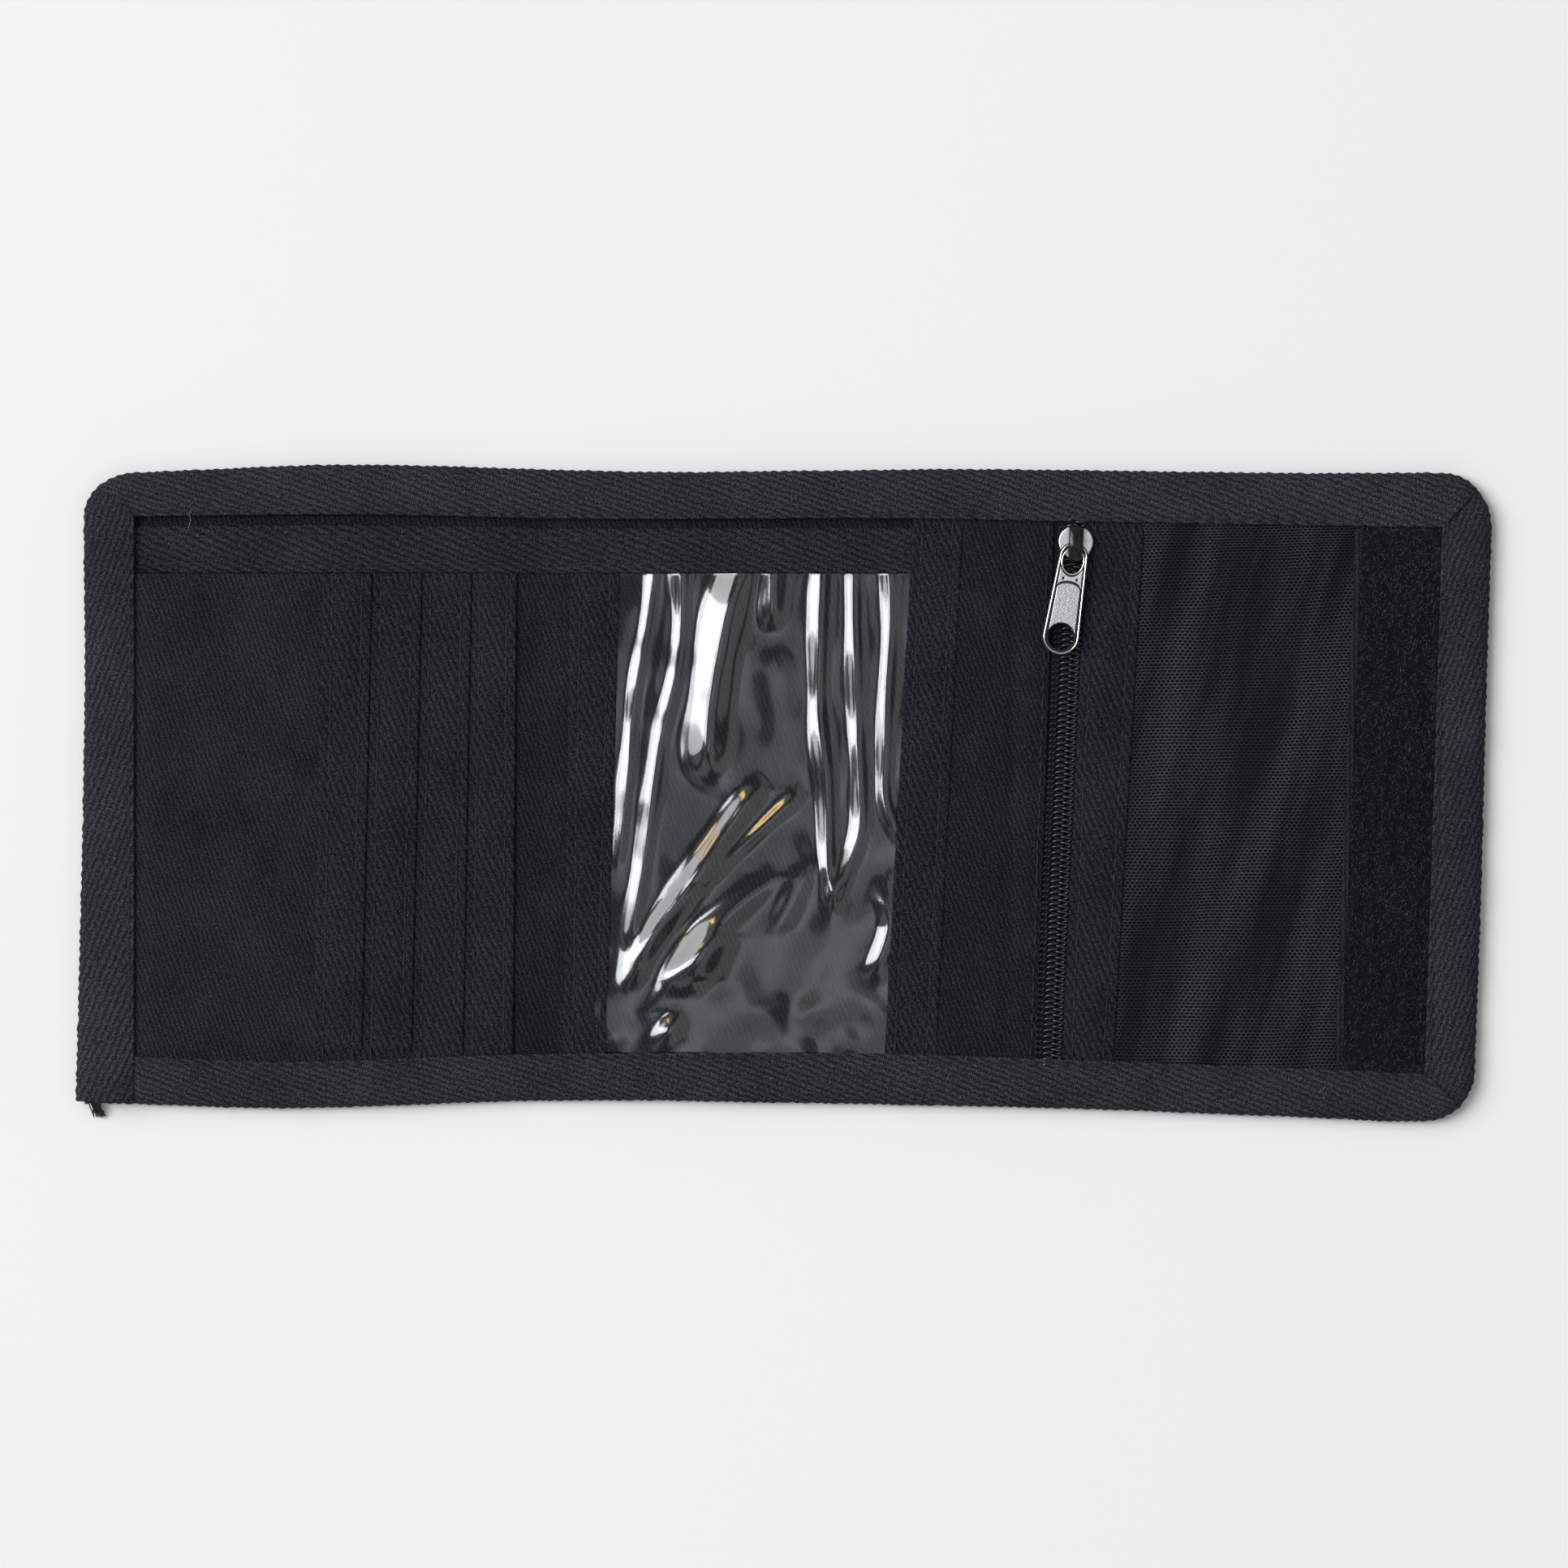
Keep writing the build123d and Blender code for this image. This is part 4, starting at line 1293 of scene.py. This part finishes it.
def loop_strip():
    """Loop half of the closure: a ribbed selvage, a soft base and standing loops."""
    left, right = seam("loop_strip", -1), line_at(INNER_X + 2.5)
    bottom, top = low("loop_strip", 1) - 3, high("loop_strip", 1) + 3
    base_z = low("loop_strip", 2)
    pile_top = high("loop_strip", 2) - 0.45
    lumps = waves(61, 14, 1.6, 4.5)
    selvage = woven(
        "loop_strip_selvage", left, shifted(left, 1.5), bottom, top,
        lambda x, y: base_z + 0.75 + 0.06 * np.sin(y * math.tau / 0.9), 0.7, SELVAGE,
        ride_right, cell=0.3,
    )
    cloth(
        "loop_strip_base", shifted(left, 1.2), right, bottom, top,
        lambda x, y: pile_top - 0.28 + 0.12 * lumps(x, y), pile_top - base_z, LOOP_BASE,
        ride_right, ["loop_strip"], cell=0.55, with_pieces=[selvage],
    )
    y = rng.uniform(-INNER_Y - 0.2, INNER_Y + 0.2, LOOP_COUNT)
    x = left(y) + 1.4 + rng.uniform(0, 1, LOOP_COUNT) * (INNER_X - left(y) - 1.6)
    turn = rng.uniform(0, math.tau, LOOP_COUNT)
    size = rng.uniform(0.25, 0.6, LOOP_COUNT)
    tall = rng.uniform(0.2, 0.5, LOOP_COUNT)
    bow = np.linspace(0, math.pi, 5)
    px = x[:, None] + np.cos(turn)[:, None] * np.cos(bow) * size[:, None]
    py = y[:, None] + np.sin(turn)[:, None] * np.cos(bow) * size[:, None]
    pz = pile_top - 0.33 + np.sin(bow) * tall[:, None] + 0.12 * lumps(px, py)
    thread_piece("loop_pile_fibres", paths_of(px, py, tuck(px, py, pz)), LOOP_THREAD, LOOPS,
                 "hook_and_loop", ride_right, sides=3)


def hook_strip():
    """Hook half of the closure on the outside, with rows of small bent hooks."""
    left, right = seam("hook_strip", -1), seam("hook_strip", 1)
    bottom, top = low("hook_strip", 1), high("hook_strip", 1)
    cloth("hook_strip_base", left, right, bottom, top, level(high("hook_strip", 2) + 0.02),
          HOOK_BASE_THICK, HOOK_BASE, ride_left, ["hook_strip"])
    across = np.arange(float(left(0)) + 1.3, float(right(0)) - 1.0, HOOK_SPACING[0])
    along = np.arange(bottom + 1.2, top - 1.0, HOOK_SPACING[1])
    x, y = [grid.ravel()[:, None] for grid in np.meshgrid(across, along)]
    bow = np.linspace(0, 1.25 * math.pi, 6)
    hooks = paths_of(x, y + 0.3 - 0.3 * np.cos(bow), 0.3 - 0.24 * np.sin(bow))
    thread_piece("hook_strip_hooks", hooks, HOOK_THREAD, HOOKS, "hook_and_loop", ride_left,
                 sides=5, reference=(1, 0, 0))
    rows = [stitch_paths((x, bottom), (x, top), level(0.24))
            for x in (float(left(0)) + 0.7, float(right(0)) - 0.7)]
    thread_piece("hook_strip_sewing", np.concatenate(rows), 0.14, THREAD, "hook_and_loop",
                 ride_left)


def loose_ends():
    """A small tuft at the lower left corner and one stray thread end."""
    strands = []
    for _ in range(26):
        start = np.array([-131.5 + rng.uniform(-1.3, 1.3), -HALF_WIDTH + 0.6, 2.2])
        end = np.array([-130.6 + rng.normal(0, 0.5), -HALF_WIDTH - 1.7 - rng.uniform(0, 1), 0.6])
        middle = (start + end) / 2 + rng.normal(0, 0.2, 3) + [0, 0, 0.4]
        t = np.linspace(0, 1, 6)[:, None]
        strands.append((1 - t) ** 2 * start + 2 * t * (1 - t) * middle + t * t * end)
    thread_piece("corner_tuft", strands, 0.11, THREAD, "tape", ride_left, sides=5)
    stray = np.array([
        (-113.5, 53.2, 0.25), (-113.9, 52.3, 0.55), (-113.6, 51.4, 0.3), (-113.9, 50.6, -0.15),
        (-114.1, 49.9, -0.3),
    ]) + [0, 0, BINDING_TOP]
    thread_piece("stray_thread", [stray], 0.1, PALE_THREAD, "tape", ride_left)


def inner_sheets():
    """The hidden stiffeners of the three panels."""
    for name, join in (("left", ride_left), ("centre", ride_centre), ("right", ride_right)):
        node = f"stiffener_{name}"
        top = high(node, 2)
        cloth(f"{node}_felt", line_at(low(node, 0)), line_at(high(node, 0)), low(node, 1) + 2.5,
              high(node, 1) - 1.0, level(top - 0.03), top - low(node, 2) - 0.06, STIFFENER, join,
              [node], cell=2.5)


# ---------------- stage

# Metres, watts and linear colours
FLOOR_HALF = 3.0
FLOOR_Z = -0.0002
ROOM_STRENGTH = 0.64
ROOM_PATCHES = {"Scale": 2.6, "Detail": 3.0}
ROOM_TONES = {"From Min": 0.46, "From Max": 0.52, "To Min": 0.2, "To Max": 0.95}
SUN_DIRECTION = (-0.95, 0.4, 1.0)
SUN_STRENGTH = 1.8
SUN_WIDTH = math.radians(44)
PANELS = [
    ("strip_light", (-0.95, 0.2, 1.5), (0.26, 1.3), 10.0, (0.94, 0.97, 1.0)),
    ("warm_light", (-0.53, 0.56, 1.74), (0.16, 0.16), 0.8, (1.0, 0.68, 0.2)),
    ("ceiling_light", (0.04, -0.05, 1.9), (0.36, 0.46), 0.3, (0.86, 0.92, 1.0)),
]
CAMERA_PLACE = (0.0, 0.0017, 1.5)
SENSOR_WIDTH = 36
VIEW_WIDTH = 0.2998


def floor():
    """Pale ground under the wallet."""
    mesh = bpy.data.meshes.new("floor")
    corners = [(-1, -1), (1, -1), (1, 1), (-1, 1)]
    mesh.from_pydata([(x * FLOOR_HALF, y * FLOOR_HALF, 0) for x, y in corners], [], [(0, 1, 2, 3)])
    mesh.materials.append(pale_paper("pale_floor"))
    ground = bpy.data.objects.new("floor", mesh)
    ground.location.z = FLOOR_Z
    bpy.context.scene.collection.objects.link(ground)


def room():
    """Uneven soft light from all round, as in a room with pale and dark places."""
    world = bpy.data.worlds.new("studio")
    world.use_nodes = True
    tree = world.node_tree
    direction = tree.nodes.new("ShaderNodeTexCoord")
    shade_patches = tree.nodes.new("ShaderNodeTexNoise")
    tone = tree.nodes.new("ShaderNodeMapRange")
    background = tree.nodes["Background"]
    for node, settings in (
        (shade_patches, ROOM_PATCHES), (tone, ROOM_TONES), (background, {"Strength": ROOM_STRENGTH}),
    ):
        for key, value in settings.items():
            node.inputs[key].default_value = value
    tree.links.new(direction.outputs["Generated"], shade_patches.inputs["Vector"])
    tree.links.new(shade_patches.outputs[0], tone.inputs["Value"])
    tree.links.new(tone.outputs[0], background.inputs["Color"])
    bpy.context.scene.world = world


def lamp(name, kind, direction):
    """A light that shines from the given direction towards the wallet."""
    light = bpy.data.lights.new(name, kind)
    holder = bpy.data.objects.new(name, light)
    holder.rotation_euler = Vector(direction).to_track_quat("Z", "Y").to_euler()
    bpy.context.scene.collection.objects.link(holder)
    return light, holder


def lights():
    """Large soft sun from the upper left and three light panels."""
    sun, _ = lamp("window_light", "SUN", SUN_DIRECTION)
    sun.energy = SUN_STRENGTH
    sun.angle = SUN_WIDTH
    for name, place, size, power, color in PANELS:
        panel, holder = lamp(name, "AREA", place)
        holder.location = place
        panel.shape = "RECTANGLE"
        panel.size, panel.size_y = size
        panel.energy = power
        panel.color = color


def camera():
    """Camera straight above the wallet."""
    lens = bpy.data.cameras.new("camera")
    lens.sensor_width = SENSOR_WIDTH
    lens.lens = SENSOR_WIDTH * CAMERA_PLACE[2] / VIEW_WIDTH
    holder = bpy.data.objects.new("camera", lens)
    holder.location = CAMERA_PLACE
    bpy.context.scene.collection.objects.link(holder)
    bpy.context.scene.camera = holder


back_layers()
banknote_front()
card_pockets()
centre_panel()
zipped_panel()
bindings()
stitching()
zipper_coils()
slider()
bail()
puller()
loop_strip()
hook_strip()
loose_ends()
inner_sheets()
floor()
room()
lights()
camera()
bpy.context.scene.view_settings.view_transform = "Standard"
